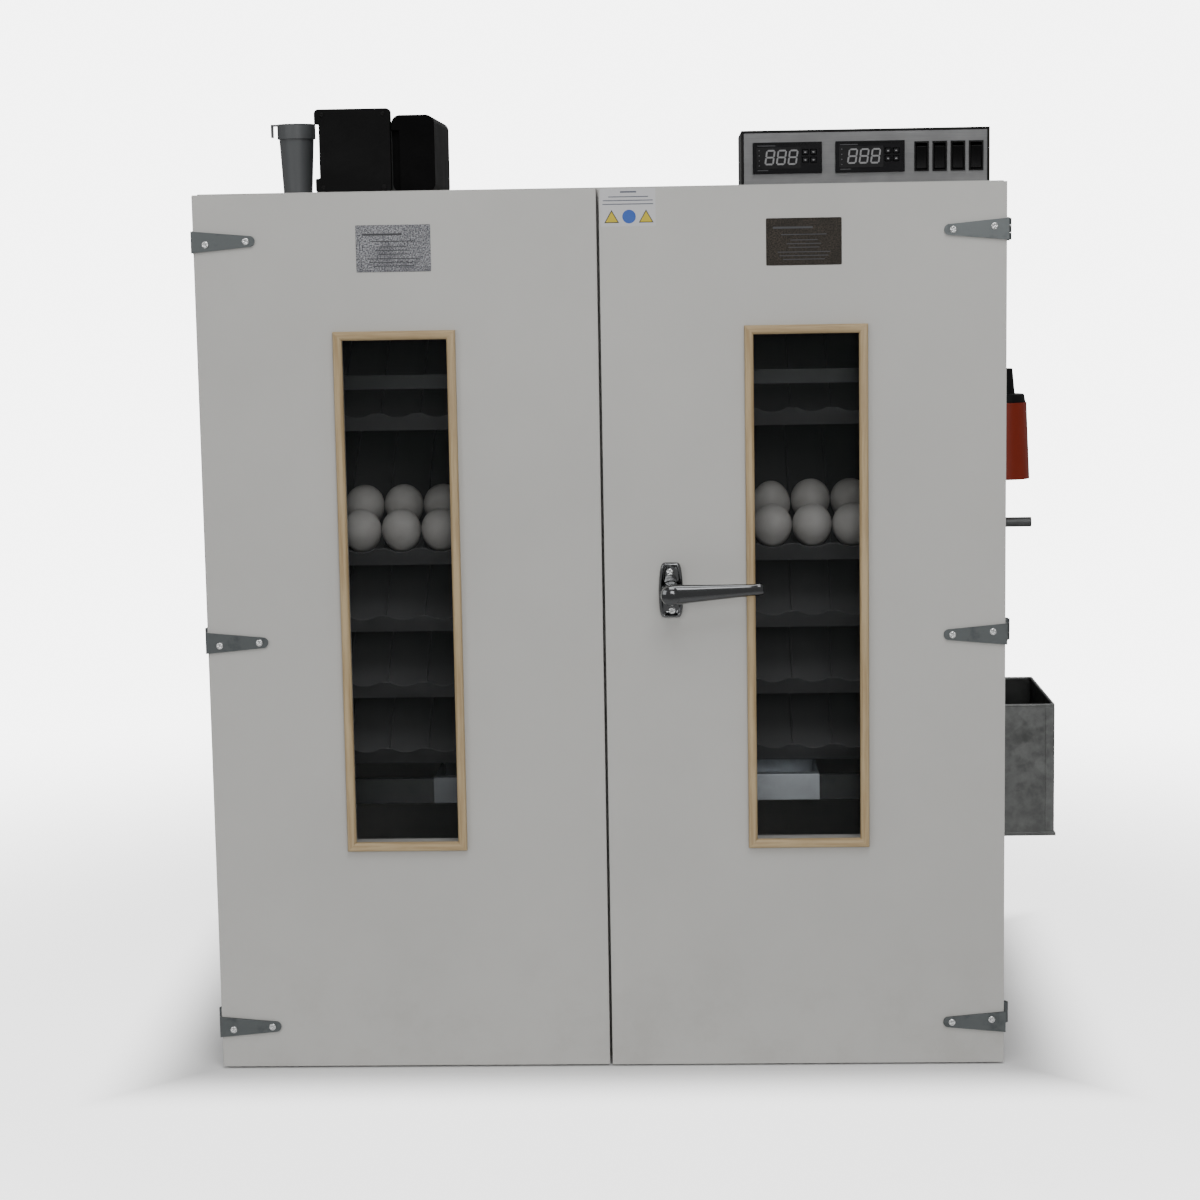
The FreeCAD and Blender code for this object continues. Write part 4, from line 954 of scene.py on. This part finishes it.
# A rubber strip stands in the slot between the two housings.
strip = bmesh.new()
slot_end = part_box("transformer_housing")[0].x
tablet(strip, lid_high.x - 0.006, lid_low.z + 0.001, slot_end + 0.006, lid_high.z - 0.020, lid_low.y + 0.010,
       lid_low.y + 0.014, 0.0008)
fitted(strip, "housing_strip", seal_finish, "cabinet", "seal_rubber")
LID_SCREW_IN, LID_SCREW_DOWN = 0.0085, 0.0065
LEFT_SCREW_IN = 0.009
lid_spots = [(x, lid_low.y, z) for x in (lid_low.x + LEFT_SCREW_IN, lid_high.x - LID_SCREW_IN)
             for z in (lid_low.z + LID_SCREW_DOWN, lid_high.z - LID_SCREW_DOWN)]
lid_screws = repeated("lid_screws", lid_spots, screw_head(0.0026, 0.0011), black_finish, twist=1.2)
settle(lid_screws, "cabinet", "black_plastic")


# ------------ control box
# A folded black steel case closed by a satin silver face. Two panel controllers and four rocker
# switches are let into the face.
def brushed_face():
    """Satin paint over steel with faint level brushing and rubbed patches."""
    finish = Finish("face_silver", (0.155, 0.156, 0.158), 0.38, Metallic=0.25, Specular_IOR_Level=0.3)
    spot = finish.place()
    brush = finish.noise(finish.place((3.0, 1.0, 160.0)), 8.0, 3.0, 0.6)
    patch = finish.noise(spot, 18.0, 4.0, 0.6)
    base = finish.between(patch.over(0.35, 0.7), (0.120, 0.121, 0.122), (0.155, 0.156, 0.158))
    finish.drive("Base Color", finish.between(brush.over(0.3, 0.7) * 0.35, base, (0.090, 0.091, 0.092)))
    finish.drive("Roughness", 0.30 + brush * 0.2)
    finish.bump(brush, 0.0001, 0.4)
    return finish


carry("control_case", 0.0007, black_finish, "black_plastic")
carry("control_panel", 0.0003, brushed_face(), "panel_silver")


# ------------ panel controllers
# Snap-in controllers with a raised bezel, a smoked display window with three unlit figures, a column
# of small lamps and four keys.
bezel_finish = moulded("bezel_black", (0.0034, 0.0034, 0.0042), 0.36, 0.001, 600.0, 0.08)
carry("controllers", 0.0006, bezel_finish, "black_plastic")
unit_low, unit_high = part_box("controllers")
UNIT_WIDE, UNIT_TALL = 0.077, 0.0345
UNIT_LEFTS = (unit_low.x, unit_high.x - UNIT_WIDE)
UNIT_FACE = unit_low.y
rims, windows, marks = bmesh.new(), bmesh.new(), bmesh.new()
for left in UNIT_LEFTS:
    surround(rims, left + 0.0008, unit_low.z + 0.0008, left + UNIT_WIDE - 0.0008,
             unit_low.z + UNIT_TALL - 0.0008, 0.0014, UNIT_FACE - 0.0006, UNIT_FACE + 0.0004)
    tablet(windows, left + 0.0035, unit_low.z + 0.0050, left + 0.0535, unit_low.z + UNIT_TALL - 0.0052,
           UNIT_FACE - 0.0003, UNIT_FACE + 0.0004, 0.0012)
    for row, wide in ((UNIT_TALL - 0.0042, 0.020), (0.0032, 0.012)):
        tablet(marks, left + 0.0050, unit_low.z + row, left + 0.0050 + wide, unit_low.z + row + 0.0007,
               UNIT_FACE - 0.0001, UNIT_FACE + 0.0002, 0.0002, 0.00002, 2)
fitted(rims, "controller_rims", bezel_finish, "cabinet", "black_plastic")
window_finish = Finish("smoked_window", (0.003, 0.003, 0.0036), 0.25, Specular_IOR_Level=0.06)
window_finish.drive("Roughness", 0.22 + window_finish.noise(window_finish.place(), 60.0).over(0.5, 0.8) * 0.1)
fitted(windows, "display_windows", window_finish, "cabinet", "black_plastic")
pale_print = film("pale_print", (0.05, 0.05, 0.055))
fitted(marks, "controller_marks", pale_print, "cabinet", "grey_plastic")

FIGURE_WIDE, FIGURE_TALL, STROKE, SLANT = 0.0086, 0.0150, 0.0018, 0.14


def figure():
    """An unlit seven-segment figure that faces -Y, each segment a long hexagon."""
    mesh = bmesh.new()
    half, quarter, gap = FIGURE_WIDE / 2, FIGURE_TALL / 4, 0.00022
    places = [(0.0, up, False) for up in (-2 * quarter, 0.0, 2 * quarter)]
    places += [(across, up, True) for across in (-half, half) for up in (-quarter, quarter)]
    for x, z, upright in places:
        reach = (quarter if upright else half) - gap
        outline = [(-reach, 0.0), (STROKE / 2 - reach, STROKE / 2), (reach - STROKE / 2, STROKE / 2),
                   (reach, 0.0), (reach - STROKE / 2, -STROKE / 2), (STROKE / 2 - reach, -STROKE / 2)]
        if upright:
            outline = [(-b, a) for a, b in outline]
        bridge(mesh, [[mesh.verts.new((x + a + SLANT * (z + b), depth, z + b)) for a, b in outline]
                      for depth in (0.0002, -0.00012)])
    return made(mesh, "figure")


def lamp_dot():
    """A small round indicator lens that faces -Y."""
    mesh = bmesh.new()
    tablet(mesh, -0.0008, -0.0008, 0.0008, 0.0008, -0.0003, 0.0003, 0.0008, 0.0002, 4)
    return made(mesh, "lamp_dot")


figure_finish = film("figure_grey", (0.19, 0.19, 0.195))
figure_spots = [(left + across, UNIT_FACE - 0.0003, unit_low.z + 0.0178)
                for left in UNIT_LEFTS for across in (0.0190, 0.0318, 0.0446)]
dot_spots = [(left + 0.0070, UNIT_FACE - 0.0003, unit_low.z + 0.0088 + 0.0056 * row)
             for left in UNIT_LEFTS for row in range(4)]
for name, spots, pattern, finish in (("display_figures", figure_spots, figure(), figure_finish),
                                     ("indicator_lamps", dot_spots, lamp_dot(), pale_print)):
    # Small flat shapes keep crisp facets.
    settle(smoothed(repeated(name, spots, pattern, finish, twist=0.0)), "cabinet", "grey_plastic")

key_finish = moulded("key_black", (0.008, 0.008, 0.009), 0.40, 0.003, 600.0)
for side, row, place in itertools.product(("left", "right"), ("lower", "upper"), ("inner", "outer")):
    key = "key_%s_%s_%s" % (side, row, place)
    carry(key, 0.0007, key_finish, "black_plastic")
    low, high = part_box(key)
    middle, up = (low.x + high.x) / 2, (low.z + high.z) / 2
    mark = bmesh.new()
    tablet(mark, middle - 0.0011, up - 0.0007, middle + 0.0011, up + 0.0007, low.y - 0.0001,
           low.y + 0.0003, 0.0005, 0.00003, 3)
    fitted(mark, key + "_mark", figure_finish, BODY_OF[key], "grey_plastic")


# ------------ rocker switches
# Four black rockers tip in thin moulded frames that clip into the face.
# All stand switched off.
rocker_finish = moulded("rocker_black", (0.0032, 0.0032, 0.0034), 0.32, 0.001, 700.0, 0.08)
panel_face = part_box("control_panel")[0].y
FRAME_WIDE, FRAME_TALL, FRAME_PROUD = 0.0162, 0.0330, 0.0014
frames = bmesh.new()
for number in range(1, 5):
    node = "rocker_%d" % number
    carry(node, 0.0008, rocker_finish, "black_plastic")
    low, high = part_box(node)
    middle, up = (low.x + high.x) / 2, 1.0285
    surround(frames, middle - FRAME_WIDE / 2, up - FRAME_TALL / 2, middle + FRAME_WIDE / 2,
             up + FRAME_TALL / 2, 0.0017, panel_face - FRAME_PROUD, panel_face + 0.0005)
fitted(frames, "rocker_frames", rocker_finish, "cabinet", "black_plastic")
